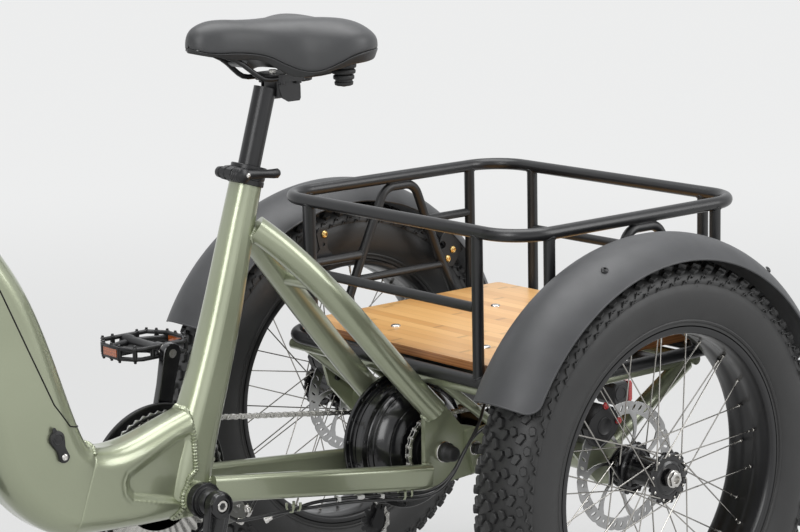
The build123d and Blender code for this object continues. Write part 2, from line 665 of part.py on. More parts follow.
def fender_space(centre, width, start_deg, end_deg):
    """Cuts away everything a fender and its wheel well fill."""
    edge = FENDER_RADIUS - FENDER_DROP
    with BuildSketch(fender_plane(centre, start_deg)) as arch:
        with BuildLine():
            ThreePointArc((-width / 2, edge), (0, FENDER_RADIUS), (width / 2, edge))
            Line((-width / 2, edge), (width / 2, edge))
        make_face()
    revolve(arch.sketch, axis=Axis(centre, (0, -1, 0)), revolution_arc=end_deg - start_deg,
            mode=Mode.SUBTRACT)


FENDER_BRACKET_Y = BASKET_HALF_WIDTH + 7.0
FENDER_INNER_Y = TRACK / 2 - REAR_FENDER_WIDTH / 2
BRACKET_PLATES = (((-6, 528), (16, 500), (76, 540), (84, 598), (50, 612), (24, 580)),
                  ((-150, 520), (-136, 492), (-196, 468), (-218, 492), (-206, 546), (-176, 556)))
BRACKET_BOLTS = ((64, 590), (-192, 535))
BRACKET_PLATE_THICK = 3.0
BRACKET_PIN_RADIUS = 7.0
BRACKET_PIN_DEPTH = 20.0
with BuildPart() as fender_brackets:
    for side in (1, -1):
        for outline, (dx, z) in zip(BRACKET_PLATES, BRACKET_BOLTS):
            plate(outline, *span(side, FENDER_BRACKET_Y, FENDER_BRACKET_Y + BRACKET_PLATE_THICK))
            disc(dx, z, *span(side, FENDER_BRACKET_Y, FENDER_INNER_Y + BRACKET_PIN_DEPTH),
                 BRACKET_PIN_RADIUS)
        fender_space(at(0, side * TRACK / 2, WHEEL_Z), REAR_FENDER_WIDTH, REAR_FENDER_FRONT_DEG,
                     REAR_FENDER_REAR_DEG)
    for rails in (basket_rim, basket_floor, basket_hoops, basket_posts):
        add(rails.part, mode=Mode.SUBTRACT)
finish("fender_brackets", fender_brackets)

# ---------------------------------------------------------------- saddle
# The post's head stands behind its top and holds the saddle's two rails between plates.
HEAD_SETBACK = 25.0
HEAD_X = post_point(SEAT_POST_TOP)[0] - HEAD_SETBACK
RAIL_RADIUS = 3.5
RAIL_Y = 22.0
RAIL_Z = SEAT_POST_TOP + 13.0
CRADLE_HEIGHT = 20.0
CRADLE_LENGTH = 34.0
CRADLE_WIDTH = 2 * SEAT_POST_RADIUS + 6.0
RAIL_PLATE_LENGTH = 44.0
RAIL_PLATE_THICK = 5.0
with BuildPart() as seat_post:
    rod(post_point(SEAT_POST_BOTTOM), post_point(SEAT_POST_TOP), SEAT_POST_RADIUS)
    with BuildSketch(Plane.XY.offset(RAIL_Z - RAIL_PLATE_THICK - CRADLE_HEIGHT)):
        with Locations((HEAD_X, 0)):
            RectangleRounded(CRADLE_LENGTH, CRADLE_WIDTH, 8)
    extrude(amount=CRADLE_HEIGHT)
    for low in (RAIL_Z - RAIL_PLATE_THICK, RAIL_Z):
        with BuildSketch(Plane.XY.offset(low)):
            with Locations((HEAD_X, 0)):
                RectangleRounded(RAIL_PLATE_LENGTH, 2 * RAIL_Y + 12, 5)
        extrude(amount=RAIL_PLATE_THICK)
finish("seat_post", seat_post)

# Saddle sections: place, width, height and middle height, from the nose to the tail
SADDLE_SECTIONS = ((492, 24, 24, 892), (466, 54, 46, 896), (420, 66, 50, 893), (376, 92, 66, 885),
                   (342, 148, 76, 880), (305, 194, 64, 887), (276, 198, 56, 887), (250, 164, 48, 883),
                   (228, 112, 32, 876), (213, 52, 16, 872))
BUMPER_X = 276.0
BUMPER_Y = 44.0
BUMPER_RADIUS = 18.0
BUMPER_FOOT_RADIUS = 13.0
BUMPER_LOW = 823.0
BUMPER_HIGH = 862.0
HEAD_ROOM = 1.0
with BuildPart() as saddle:
    for dx, width, height, z in SADDLE_SECTIONS:
        with BuildSketch(axis_plane(at(dx, 0, z))):
            RectangleRounded(width, height, min(width, height) * 0.42)
    loft()
    # The saddle is hollow over the post's head.
    with BuildSketch(Plane.XY.offset(RAIL_Z - CRADLE_HEIGHT)):
        with Locations((HEAD_X, 0)):
            Rectangle(RAIL_PLATE_LENGTH + 6, 2 * RAIL_Y + 18)
    extrude(amount=CRADLE_HEIGHT + RAIL_PLATE_THICK + HEAD_ROOM, mode=Mode.SUBTRACT)
finish("saddle", saddle)

# The rails rise to the nose in front and end in the two rubber bumpers behind.
with BuildPart() as saddle_rails:
    for side in (1, -1):
        bent_tube((at(455, side * 12, 876), at(425, side * 16, 866), at(392, side * RAIL_Y, RAIL_Z),
                   at(310, side * RAIL_Y, RAIL_Z), at(BUMPER_X, side * (BUMPER_Y - 4), RAIL_Z + 3)), 14,
                  RAIL_RADIUS)
        with BuildSketch(Plane(origin=at(BUMPER_X, side * BUMPER_Y, BUMPER_LOW))) as foot:
            Circle(BUMPER_FOOT_RADIUS)
        extrude(foot.sketch, amount=12)
        with BuildSketch(Plane(origin=at(BUMPER_X, side * BUMPER_Y, BUMPER_LOW + 12))) as bellows:
            Circle(BUMPER_RADIUS)
        extrude(bellows.sketch, amount=BUMPER_HIGH - BUMPER_LOW - 12)
    add(saddle.part, mode=Mode.SUBTRACT)
    add(seat_post.part, mode=Mode.SUBTRACT)
finish("saddle_rails", saddle_rails)

# The quick-release clamp round the seat tube's mouth: collar, bolt barrel, lever and nut
CLAMP_RADIUS = TUBE_MOUTH / 2 + 3.5
CLAMP_OVER = 8.0
CLAMP_HEIGHT = 26.0
CLAMP_BOLT_X = SEAT_TUBE_X + CLAMP_RADIUS + 3.0
CLAMP_BOLT_Z = SEAT_TUBE_TOP + 10.0
CLAMP_BARREL_RADIUS = 8.0
CLAMP_LEVER_Y = 27.0
with BuildPart() as seat_clamp:
    foot = Vector(*post_point(SEAT_TUBE_TOP)) - POST_DIRECTION * CLAMP_OVER
    with BuildSketch(Plane(origin=foot, z_dir=POST_DIRECTION)):
        Circle(CLAMP_RADIUS)
        Circle(SEAT_POST_RADIUS + RUNNING_GAP, mode=Mode.SUBTRACT)
    extrude(amount=CLAMP_HEIGHT)
    disc(CLAMP_BOLT_X, CLAMP_BOLT_Z, -24, CLAMP_LEVER_Y - 6, CLAMP_BARREL_RADIUS)
    disc(CLAMP_BOLT_X, CLAMP_BOLT_Z, CLAMP_LEVER_Y - 6, CLAMP_LEVER_Y + 6, CLAMP_BARREL_RADIUS + 2)
    with BuildSketch(side_plane(CLAMP_LEVER_Y + 5)):
        with Locations((CLAMP_BOLT_X - 29, CLAMP_BOLT_Z - 1)):
            SlotCenterToCenter(58, 12, rotation=4)
    extrude(amount=10)
    with BuildSketch(Plane(origin=post_point(SEAT_POST_TOP), z_dir=-POST_DIRECTION)):
        Circle(SEAT_POST_RADIUS + RUNNING_GAP)
    extrude(amount=200, mode=Mode.SUBTRACT)
    add(seat_shell.part, mode=Mode.SUBTRACT)
finish("seat_clamp", seat_clamp)

# ---------------------------------------------------------------- motor and drive
TOOTH_TIP = 3.0
ROLLER_SEAT = 4.1


def pitch_radius(teeth):
    return CHAIN_PITCH / 2 / sin(pi / teeth)


def sprocket(x, z, y, teeth, thick, bore):
    """Adds a toothed plate for a chain of the given pitch."""
    with BuildSketch(side_plane(y + thick / 2)) as wheel:
        with Locations((x, z)):
            Circle(pitch_radius(teeth) + TOOTH_TIP)
            Circle(bore, mode=Mode.SUBTRACT)
            with PolarLocations(pitch_radius(teeth) + TOOTH_TIP / 2, teeth):
                Circle(ROLLER_SEAT, mode=Mode.SUBTRACT)
    extrude(wheel.sketch, amount=thick)


AXLE_TEETH = 23
FREEWHEEL_TEETH = 18
CHAINRING_TEETH = 44
PULLEY_TEETH = 11
SPROCKET_THICK = 2.2
MOTOR_LEFT = 37.0
MOTOR_RIGHT = 40.0
MOTOR_BORE = 12.0
MOTOR_PROFILE = ((-MOTOR_RIGHT, MOTOR_BORE), (-MOTOR_RIGHT, MOTOR_FLANGE_RADIUS),
                 (-35, MOTOR_FLANGE_RADIUS), (-33, MOTOR_DRUM_RADIUS + 3),
                 (-8, MOTOR_DRUM_RADIUS + 3), (-6, MOTOR_FLANGE_RADIUS - 2),
                 (-1, MOTOR_FLANGE_RADIUS - 2), (1, MOTOR_DRUM_RADIUS), (8, MOTOR_DRUM_RADIUS - 3),
                 (26, MOTOR_DRUM_RADIUS - 19), (30, MOTOR_DRUM_RADIUS - 29), (34, 40), (MOTOR_LEFT, 36),
                 (MOTOR_LEFT, MOTOR_BORE))
with BuildPart() as hub_motor:
    with BuildSketch(axis_plane(at(MOTOR_X, 0, MOTOR_Z))):
        with BuildLine():
            Polyline(*MOTOR_PROFILE, close=True)
        make_face()
    revolve(axis=Axis(at(MOTOR_X, 0, MOTOR_Z), (0, 1, 0)))
finish("hub_motor", hub_motor)

with BuildPart() as motor_sprockets:
    sprocket(MOTOR_X, MOTOR_Z, AXLE_CHAIN_Y, AXLE_TEETH, SPROCKET_THICK, MOTOR_BORE)
    disc(MOTOR_X, MOTOR_Z, MOTOR_LEFT, AXLE_CHAIN_Y + 4, 34, MOTOR_BORE)
    sprocket(MOTOR_X, MOTOR_Z, DRIVE_CHAIN_Y, FREEWHEEL_TEETH, SPROCKET_THICK, MOTOR_BORE)
    disc(MOTOR_X, MOTOR_Z, DRIVE_CHAIN_Y, -MOTOR_RIGHT, 26, MOTOR_BORE)
finish("motor_sprockets", motor_sprockets)

AXLE_NUT_LENGTH = 24.0
AXLE_NUT_RADIUS = 14.0
AXLE_SPACER_RADIUS = 11.0
AXLE_SPACER_LENGTH = 9.5
with BuildPart() as motor_axle:
    disc(MOTOR_X, MOTOR_Z, -DROPOUT_Y - 20, DROPOUT_Y + 20, MOTOR_AXLE_RADIUS)
    for side in (1, -1):
        spacer = span(side, DROPOUT_Y - 1 - AXLE_SPACER_LENGTH, DROPOUT_Y - 1)
        disc(MOTOR_X, MOTOR_Z, *spacer, AXLE_SPACER_RADIUS)
        face = DROPOUT_Y + DROPOUT_THICK
        disc(MOTOR_X, MOTOR_Z, *span(side, face, face + AXLE_NUT_LENGTH), AXLE_NUT_RADIUS)
    add(dropouts.part, mode=Mode.SUBTRACT)
    add(axle_tubes.part, mode=Mode.SUBTRACT)
finish("motor_axle", motor_axle)

DIFF_CASE_RADIUS = 27.0
DIFF_FLANGE_RADIUS = 32.0
with BuildPart() as differential:
    disc(0, WHEEL_Z, -AXLE_CHAIN_Y, AXLE_CHAIN_Y - 10, DIFF_CASE_RADIUS)
    disc(0, WHEEL_Z, AXLE_CHAIN_Y - 10, AXLE_CHAIN_Y + 4, DIFF_FLANGE_RADIUS)
    sprocket(0, WHEEL_Z, AXLE_CHAIN_Y, AXLE_TEETH, SPROCKET_THICK, 5)
    disc(0, WHEEL_Z, -BRACKET_Y - JOURNAL_LENGTH, BRACKET_Y + JOURNAL_LENGTH, JOURNAL_RADIUS)
finish("differential", differential)


def tangent_points(circles):
    """For circles (x, z, radius, turn) gives each one's arriving and leaving heading."""
    headings = []
    for index, (x, z, radius, turn) in enumerate(circles):
        nx, nz, next_radius, next_turn = circles[(index + 1) % len(circles)]
        dx = nx - x
        dz = nz - z
        change = turn * radius - next_turn * next_radius
        headings.append(atan2(dz, dx) + asin(change / sqrt(dx * dx + dz * dz)))
    return headings


def belt_face(circles, y):
    """The area inside a closed run around the circles, turn +1 counter-clockwise and -1 clockwise."""
    headings = tangent_points(circles)
    with BuildSketch(side_plane(y)) as area:
        with BuildLine():
            for index, (x, z, radius, turn) in enumerate(circles):
                arrive = headings[index - 1]
                leave = headings[index]
                sweep_angle = (leave - arrive) * turn % (2 * pi) * turn
                points = []
                for heading in (arrive, arrive + sweep_angle / 2, leave):
                    points.append((x + turn * radius * sin(heading), z - turn * radius * cos(heading)))
                ThreePointArc(*points)
                nx, nz, next_radius, next_turn = circles[(index + 1) % len(circles)]
                reach = next_turn * next_radius
                Line(points[2], (nx + reach * sin(leave), nz - reach * cos(leave)))
        make_face()
    return area.sketch


def chain(circles, y, keep_clear):
    """Adds a chain loop: two rows of side plates joined by rollers along the free runs."""
    half = CHAIN_HEIGHT / 2
    thick = CHAIN_PLATE_THICK
    outer = [(x, z, radius - turn * half, turn) for x, z, radius, turn in circles]
    inner = [(x, z, radius + turn * half, turn) for x, z, radius, turn in circles]
    for face in (-CHAIN_GAP / 2, CHAIN_GAP / 2 + thick):
        extrude(belt_face(outer, y + face), amount=thick)
        extrude(belt_face(inner, y + face), amount=thick, mode=Mode.SUBTRACT)
    headings = tangent_points(circles)
    for index, (x, z, radius, turn) in enumerate(circles):
        heading = headings[index]
        nx, nz, next_radius, next_turn = circles[(index + 1) % len(circles)]
        reach = next_turn * next_radius
        start = Vector(x + turn * radius * sin(heading), z - turn * radius * cos(heading))
        end = Vector(nx + reach * sin(heading), nz - reach * cos(heading))
        run = end - start
        count = int((run.length - 2 * keep_clear) / CHAIN_PITCH)
        for step in range(max(count, 0)):
            point = start + run.normalized() * (keep_clear + CHAIN_PITCH * step)
            disc(point.X, point.Y, y - CHAIN_GAP / 2 - 0.2, y + CHAIN_GAP / 2 + 0.2, 3)


# The derailleur's two pulleys, tension below and guide above
TENSION = (MOTOR_X + 30, MOTOR_Z - 121)
GUIDE = (MOTOR_X + 12, MOTOR_Z - 71)
DRIVE_CIRCLES = ((BB_X, BB_Z, pitch_radius(CHAINRING_TEETH), -1),
                 (*TENSION, pitch_radius(PULLEY_TEETH), -1),
                 (*GUIDE, pitch_radius(PULLEY_TEETH), 1),
                 (MOTOR_X, MOTOR_Z, pitch_radius(FREEWHEEL_TEETH), -1))
AXLE_CIRCLES = ((MOTOR_X, MOTOR_Z, pitch_radius(AXLE_TEETH), -1),
                (0, WHEEL_Z, pitch_radius(AXLE_TEETH), -1))
with BuildPart() as chains:
    chain(DRIVE_CIRCLES, DRIVE_CHAIN_Y, 34)
    chain(AXLE_CIRCLES, AXLE_CHAIN_Y, 28)
finish("chains", chains)

# The arm's outline is given from the motor's axle.
DERAILLEUR_ARM = ((-36, -28), (-18, -25), (26, -61), (22, -83), (3, -83), (-36, -45))
CAGE_PLATE_THICK = 2.0
CAGE_HALF_WIDTH = 5.5
DROPOUT_FACE = DROPOUT_Y + DROPOUT_THICK
cage_rise = GUIDE[1] - TENSION[1]
cage_run = GUIDE[0] - TENSION[0]
with BuildPart() as rear_derailleur:
    for low in (DRIVE_CHAIN_Y - CAGE_HALF_WIDTH - CAGE_PLATE_THICK, DRIVE_CHAIN_Y + CAGE_HALF_WIDTH):
        with BuildSketch(side_plane(low + CAGE_PLATE_THICK)) as cage:
            with Locations(((TENSION[0] + GUIDE[0]) / 2, (TENSION[1] + GUIDE[1]) / 2)):
                SlotCenterToCenter(sqrt(cage_rise ** 2 + cage_run ** 2), 20,
                                   rotation=degrees(atan2(cage_rise, cage_run)))
        extrude(cage.sketch, amount=CAGE_PLATE_THICK)
    for dx, z in (TENSION, GUIDE):
        disc(dx, z, DRIVE_CHAIN_Y - CAGE_HALF_WIDTH, DRIVE_CHAIN_Y + CAGE_HALF_WIDTH, 4)
        sprocket(dx, z, DRIVE_CHAIN_Y, PULLEY_TEETH, SPROCKET_THICK, 3)
    arm = [(MOTOR_X + dx, MOTOR_Z + dz) for dx, dz in DERAILLEUR_ARM]
    plate(arm, -DROPOUT_FACE - 11, -DROPOUT_FACE)
    disc(*GUIDE, -DROPOUT_FACE - 2, DRIVE_CHAIN_Y - CAGE_HALF_WIDTH - 1, 8.5)
finish("rear_derailleur", rear_derailleur)


# ---------------------------------------------------------------- crank and pedals
CRANK_Y_IN = 70.0
CRANK_DIRECTION = (cos(radians(CRANK_ANGLE)), sin(radians(CRANK_ANGLE)))
PEDAL_AXLE_RADIUS = 6.0
GUARD_Y = -64.0
SPIDER_RADIUS = 30.0
SPIDER_BOLT_CIRCLE = 69.0
SPIDER_ARM_MIDDLE = (SPIDER_BOLT_CIRCLE + SPIDER_RADIUS) / 2 - 1.5
SPIDER_START_DEG = 20.0
with BuildPart() as crankset:
    disc(BB_X, BB_Z, -CRANK_Y_IN - 3, CRANK_Y_IN + 3, SPINDLE_RADIUS)
    for side in (1, -1):
        along = -side * CRANK_LENGTH * CRANK_DIRECTION[0]
        rise = -side * CRANK_LENGTH * CRANK_DIRECTION[1]
        with BuildSketch(side_plane(span(side, CRANK_Y_IN, CRANK_Y_IN + CRANK_ARM_THICK)[1])):
            with Locations((BB_X + along / 2, BB_Z + rise / 2)):
                SlotCenterToCenter(CRANK_LENGTH, 28, rotation=CRANK_ANGLE)
            with Locations((BB_X, BB_Z)):
                Circle(19)
            with Locations((BB_X + along, BB_Z + rise)):
                Circle(PEDAL_AXLE_RADIUS + RUNNING_GAP, mode=Mode.SUBTRACT)
        extrude(amount=CRANK_ARM_THICK)
        cap = span(side, CRANK_Y_IN + CRANK_ARM_THICK - 1, CRANK_Y_IN + CRANK_ARM_THICK + 3)
        disc(BB_X, BB_Z, *cap, SPINDLE_RADIUS + 1)
finish("crankset", crankset)

with BuildPart() as chainring:
    sprocket(BB_X, BB_Z, DRIVE_CHAIN_Y, CHAINRING_TEETH, SPROCKET_THICK, 62)
    with BuildSketch(side_plane(GUARD_Y + 1.5)):
        with Locations((BB_X, BB_Z)):
            Circle(GUARD_RADIUS)
            Circle(SPIDER_BOLT_CIRCLE - 3, mode=Mode.SUBTRACT)
            Circle(SPIDER_RADIUS)
            with PolarLocations(SPIDER_ARM_MIDDLE, 5, start_angle=SPIDER_START_DEG):
                Rectangle(SPIDER_BOLT_CIRCLE - SPIDER_RADIUS + 5, 20)
            Circle(SPINDLE_RADIUS, mode=Mode.SUBTRACT)
    extrude(amount=3)
    disc(BB_X, BB_Z, -CRANK_Y_IN, GUARD_Y, 22, SPINDLE_RADIUS)
    for index in range(5):
        angle = radians(SPIDER_START_DEG + 72 * index)
        disc(BB_X + SPIDER_BOLT_CIRCLE * cos(angle), BB_Z + SPIDER_BOLT_CIRCLE * sin(angle), GUARD_Y,
             DRIVE_CHAIN_Y, 7)
finish("chainring", chainring)

PEDAL_CELL = 30.0
PEDAL_CELL_X = 27.0
for side, word in ((1, "left"), (-1, "right")):
    eye_x = BB_X - side * CRANK_LENGTH * CRANK_DIRECTION[0]
    eye_z = BB_Z - side * CRANK_LENGTH * CRANK_DIRECTION[1]
    inner = CRANK_Y_IN + CRANK_ARM_THICK + 8
    outer = inner + PEDAL_WIDTH
    with BuildPart() as pedal:
        with BuildSketch(Plane(origin=at(eye_x, side * (inner + outer) / 2, eye_z - PEDAL_THICK / 2))):
            RectangleRounded(PEDAL_LENGTH, PEDAL_WIDTH, 14)
            for cell in (-1, 1):
                with Locations((cell * PEDAL_CELL_X, 0)):
                    RectangleRounded(PEDAL_CELL, PEDAL_WIDTH - 24, 5, mode=Mode.SUBTRACT)
        extrude(amount=PEDAL_THICK)
        disc(eye_x, eye_z, *span(side, CRANK_Y_IN, inner), PEDAL_AXLE_RADIUS)
    finish("pedal_" + word, pedal)

# ---------------------------------------------------------------- rear brakes, hoses and fittings
CALIPER_DEG = 53.0
CALIPER_LENGTH = 60.0
CALIPER_DEPTH = 50.0
PAD_SLOT = 3 * ROTOR_THICK


def caliper(x, rotor_y, low, high, polar_deg):
    """Adds a disc brake caliper that straddles the rotor's edge."""
    angle = radians(polar_deg)
    reach = ROTOR_RADIUS - 5
    centre = Location((x + reach * cos(angle), WHEEL_Z + reach * sin(angle)), polar_deg)
    with BuildSketch(side_plane(high)) as block:
        with Locations(centre):
            RectangleRounded(CALIPER_DEPTH, CALIPER_LENGTH, 10)
    extrude(block.sketch, amount=high - low)
    with BuildSketch(side_plane(rotor_y + PAD_SLOT / 2)) as slot:
        with Locations((x, WHEEL_Z)):
            Circle(ROTOR_RADIUS + 5)
    extrude(slot.sketch, amount=PAD_SLOT, mode=Mode.SUBTRACT)


caliper_in = CALIPER_PLATE_Y + CALIPER_PLATE_THICK
caliper_out = caliper_in + 36.0
with BuildPart() as rear_caliper_left:
    caliper(0, TRACK / 2 + ROTOR_OFFSET, caliper_in, caliper_out, CALIPER_DEG)
with BuildPart() as rear_caliper_right:
    caliper(0, -TRACK / 2 - ROTOR_OFFSET, -caliper_out, -caliper_in, CALIPER_DEG)
with BuildPart() as rear_calipers:
    add(rear_caliper_left.part)
    add(rear_caliper_right.part)
finish("rear_calipers", rear_calipers)

TAIL_LIGHT_X = BASKET_REAR + 2.0
TAIL_LIGHT_Z = BASKET_BOTTOM - 120.0
TAIL_LIGHT_WIDTH = 40.0
HANGER_TOP = BASKET_BOTTOM - 6.0
HANGER_FOOT = TAIL_LIGHT_Z + 16.0
with BuildPart() as tail_light:
    with BuildSketch(side_plane(TAIL_LIGHT_WIDTH / 2)):
        with Locations((TAIL_LIGHT_X, TAIL_LIGHT_Z)):
            RectangleRounded(42, 34, 7)
    extrude(amount=TAIL_LIGHT_WIDTH)
    plate(((TAIL_LIGHT_X, HANGER_FOOT), (TAIL_LIGHT_X + 22, HANGER_FOOT), (TAIL_LIGHT_X + 6, HANGER_TOP),
           (TAIL_LIGHT_X + 2, HANGER_TOP)), -9, 9)
    add(basket_floor.part, mode=Mode.SUBTRACT)
finish("tail_light", tail_light)

with BuildPart() as charge_port_cap:
    with BuildSketch(side_plane(46)):
        with Locations((WHEELBASE - 457, 418)):
            SlotCenterToCenter(30, 17, rotation=68)
    extrude(amount=12)
    add(down_shell.part, mode=Mode.SUBTRACT)
finish("charge_port_cap", charge_port_cap)

HOSE_RADIUS = 2.5
ARC_SHARE = 0.45


def cord_radii(points):
    """An arc for each corner, as large as its two runs allow."""
    radii = []
    for before, corner, after in zip(points, points[1:], points[2:]):
        back = Vector(*corner) - Vector(*before)
        ahead = Vector(*after) - Vector(*corner)
        half_turn = radians(back.get_angle(ahead)) / 2
        radii.append(ARC_SHARE * min(back.length, ahead.length) * cos(half_turn) / sin(half_turn))
    return radii


# The hoses leave a splitter block behind the bottom bracket, run beside the chain stays, pass under
# the axle brackets and climb over the axle tubes to the calipers. The climb's places are shares of
# the way from the bracket to the outer strut, and then from there to the axle tube's end.
SPLITTER_X = BB_X - 73.0
HOSE_ALONG_STAY = ((446, 14, 284), (400, 44, 275), (348, 50.5, 269.5), (296, 54, 262.8),
                   (246, 57.5, 256), (204, 63, 249.5), (166, 80, 243), (130, 85.5, 240))
HOSE_BEND_Y = HOSE_ALONG_STAY[-1][1]
HOSE_CLIMB = ((102, 0.083, 258), (84, 0.256, 290), (76, 0.455, 322), (70, 0.668, 346), (66, 0.88, 364))
HOSE_TO_CALIPER = ((64, 0.385, 378), (60, 1.154, 388))
HOSE_ROUTE = list(HOSE_ALONG_STAY)
HOSE_ROUTE += [(dx, HOSE_BEND_Y + share * (STRUT_Y - HOSE_BEND_Y), z) for dx, share, z in HOSE_CLIMB]
HOSE_ROUTE += [(dx, STRUT_Y + share * (AXLE_TUBE_END - STRUT_Y), z) for dx, share, z in HOSE_TO_CALIPER]
with BuildPart() as brake_hoses:
    with BuildSketch(Plane(origin=at(SPLITTER_X, 0, HOSE_ROUTE[0][2]))):
        RectangleRounded(22, 40, 4)
    extrude(amount=12, both=True)
    for side in (1, -1):
        route = [at(dx, side * y, z) for dx, y, z in HOSE_ROUTE]
        radii = cord_radii(route)
        with BuildLine() as run:
            FilletPolyline(*route, radius=radii)
        with BuildSketch(Plane(origin=run.line @ 0, z_dir=run.line % 0)):
            Circle(HOSE_RADIUS)
        sweep(path=run.line)
    for node in (seat_shell, chain_stays, rear_calipers, axle_tubes, subframe):
        add(node.part, mode=Mode.SUBTRACT)
print("hose corner radii", [round(radius) for radius in cord_radii(HOSE_ROUTE)])
finish("brake_hoses", brake_hoses)

# ---------------------------------------------------------------- fork and front end
AXLE_NUT_ROOM = 5.8
SLIDER_FOOT = -24.0
SLIDER_TOP = 238.0
CROWN_DEPTH = 40.0
with BuildPart() as fork:
    for side in (1, -1):
        leg = side * FORK_LEG_Y
        rod(head_point(SLIDER_FOOT, FORK_OFFSET, leg), head_point(SLIDER_TOP, FORK_OFFSET, leg),
            FORK_LEG_RADIUS)
        rod(head_point(SLIDER_TOP - 8, FORK_OFFSET, leg), head_point(CROWN_START + 4, FORK_OFFSET, leg),
            STANCHION_RADIUS)
    with BuildSketch(head_plane(CROWN_START)):
        Circle(HEAD_TUBE_RADIUS)
        with Locations((FORK_OFFSET - 13.5, 0)):
            RectangleRounded(CROWN_DEPTH, 2 * FORK_LEG_Y, 12)
        with Locations((FORK_OFFSET, FORK_LEG_Y), (FORK_OFFSET, -FORK_LEG_Y)):
            Circle(STANCHION_RADIUS + 6)
    extrude(amount=CROWN_HEIGHT)
    with BuildSketch(head_plane(CROWN_START + CROWN_HEIGHT)):
        Circle(HEAD_TUBE_RADIUS - 1)
    extrude(amount=HEAD_TUBE_START - CROWN_START - CROWN_HEIGHT - RUNNING_GAP)
    with BuildSketch(head_plane(CROWN_START + CROWN_HEIGHT)):
        Circle(STEERER_RADIUS)
    extrude(amount=HEAD_TUBE_START + HEAD_TUBE_LENGTH + 10 - CROWN_START - CROWN_HEIGHT)
    bore_along_y(WHEELBASE, WHEEL_Z, FORK_LEG_Y - FORK_LEG_RADIUS + 4, WHEEL_AXLE_RADIUS + AXLE_NUT_ROOM)
finish("fork", fork)

STEM_BOTTOM = HEAD_TUBE_START + HEAD_TUBE_LENGTH + RUNNING_GAP
STEM_TOP = HEAD_TUBE_START + HEAD_TUBE_LENGTH + 140
STEM_REACH = 48.0
STEM_RADIUS = 20.0
STEM_BASE = 12.0
STEM_CLAMP_HALF = 26.0
BAR_RADIUS = 11.1
BAR_CENTRE = head_point(STEM_TOP - 18, STEM_REACH)
BAR_SHAPE = ((0, 0, 0), (4, 55, 2), (-6, 150, 52), (-62, 226, 66), (-190, 322, 62))
with BuildPart() as handlebar:
    points = [(BAR_CENTRE[0] + dx, -y, BAR_CENTRE[2] + dz) for dx, y, dz in BAR_SHAPE[:0:-1]]
    points += [(BAR_CENTRE[0] + dx, y, BAR_CENTRE[2] + dz) for dx, y, dz in BAR_SHAPE[1:]]
    bent_tube(points, 38, BAR_RADIUS)
finish("handlebar", handlebar)

with BuildPart() as stem:
    with BuildSketch(head_plane(STEM_BOTTOM)):
        Circle(HEAD_TUBE_RADIUS - 1)
    extrude(amount=STEM_BASE)
    with BuildSketch(head_plane(STEM_BOTTOM + STEM_BASE)):
        Circle(STEM_RADIUS)
    extrude(amount=STEM_TOP - STEM_BOTTOM - STEM_BASE)
    with BuildSketch(head_plane(STEM_TOP - 36)):
        with Locations((STEM_REACH / 2, 0)):
            RectangleRounded(STEM_REACH, 32, 4)
    extrude(amount=34)
    with BuildSketch(Plane(origin=(BAR_CENTRE[0], STEM_CLAMP_HALF, BAR_CENTRE[2]), z_dir=(0, -1, 0))):
        Circle(BAR_RADIUS + 8)
    extrude(amount=2 * STEM_CLAMP_HALF)
    add(handlebar.part, mode=Mode.SUBTRACT)
    add(fork.part, mode=Mode.SUBTRACT)
finish("stem", stem)

bar_knee, bar_end = [Vector(BAR_CENTRE[0] + dx, y, BAR_CENTRE[2] + dz) for dx, y, dz in BAR_SHAPE[3:]]
GRIP_LENGTH = 118.0
GRIP_RADIUS = 16.5
LEVER_CLAMP = GRIP_LENGTH + 6.0
LEVER_MIDDLE = LEVER_CLAMP + 6.0


def grip_point(distance, side, ahead=0.0, down=0.0):
    """A point on the grip's line, from its outer end inward."""
    inward = (bar_knee - bar_end).normalized()
    front = Vector(inward.Y, -inward.X, 0).normalized()
    point = bar_end + inward * distance + front * ahead - Vector(0, 0, down)
    return (point.X, side * point.Y, point.Z)


with BuildPart() as grips:
    for side in (1, -1):
        rod(grip_point(-3, side), grip_point(GRIP_LENGTH, side), GRIP_RADIUS)
    add(handlebar.part, mode=Mode.SUBTRACT)
finish("grips", grips)

with BuildPart() as brake_levers:
    for side in (1, -1):
        rod(grip_point(LEVER_CLAMP, side), grip_point(LEVER_CLAMP + 12, side), BAR_RADIUS + 4.4)
        rod(grip_point(LEVER_MIDDLE, side, 14, 2), grip_point(LEVER_MIDDLE, side, 44, 8), 9)
        bent_tube((grip_point(LEVER_MIDDLE, side, 40, 7), grip_point(GRIP_LENGTH - 20, side, 58, 12),
                   grip_point(30, side, 60, 14), grip_point(8, side, 66, 14)), 20, 4.5)
    add(handlebar.part, mode=Mode.SUBTRACT)
finish("brake_levers", brake_levers)

DISPLAY_TILT = 0.35
with BuildPart() as display:
    with BuildSketch(Plane(origin=(BAR_CENTRE[0] - 8, 0, BAR_CENTRE[2] + 21), x_dir=(1, 0, DISPLAY_TILT),
                           z_dir=(-DISPLAY_TILT, 0, 1))):
        RectangleRounded(56, 78, 8)
    extrude(amount=15)
    with BuildSketch(Plane(origin=(BAR_CENTRE[0], 0, BAR_CENTRE[2] + 4))):
        with Locations((0, 31), (0, -31)):
            Rectangle(14, 8)
    extrude(amount=24)
    add(handlebar.part, mode=Mode.SUBTRACT)
    add(stem.part, mode=Mode.SUBTRACT)
finish("display", display)

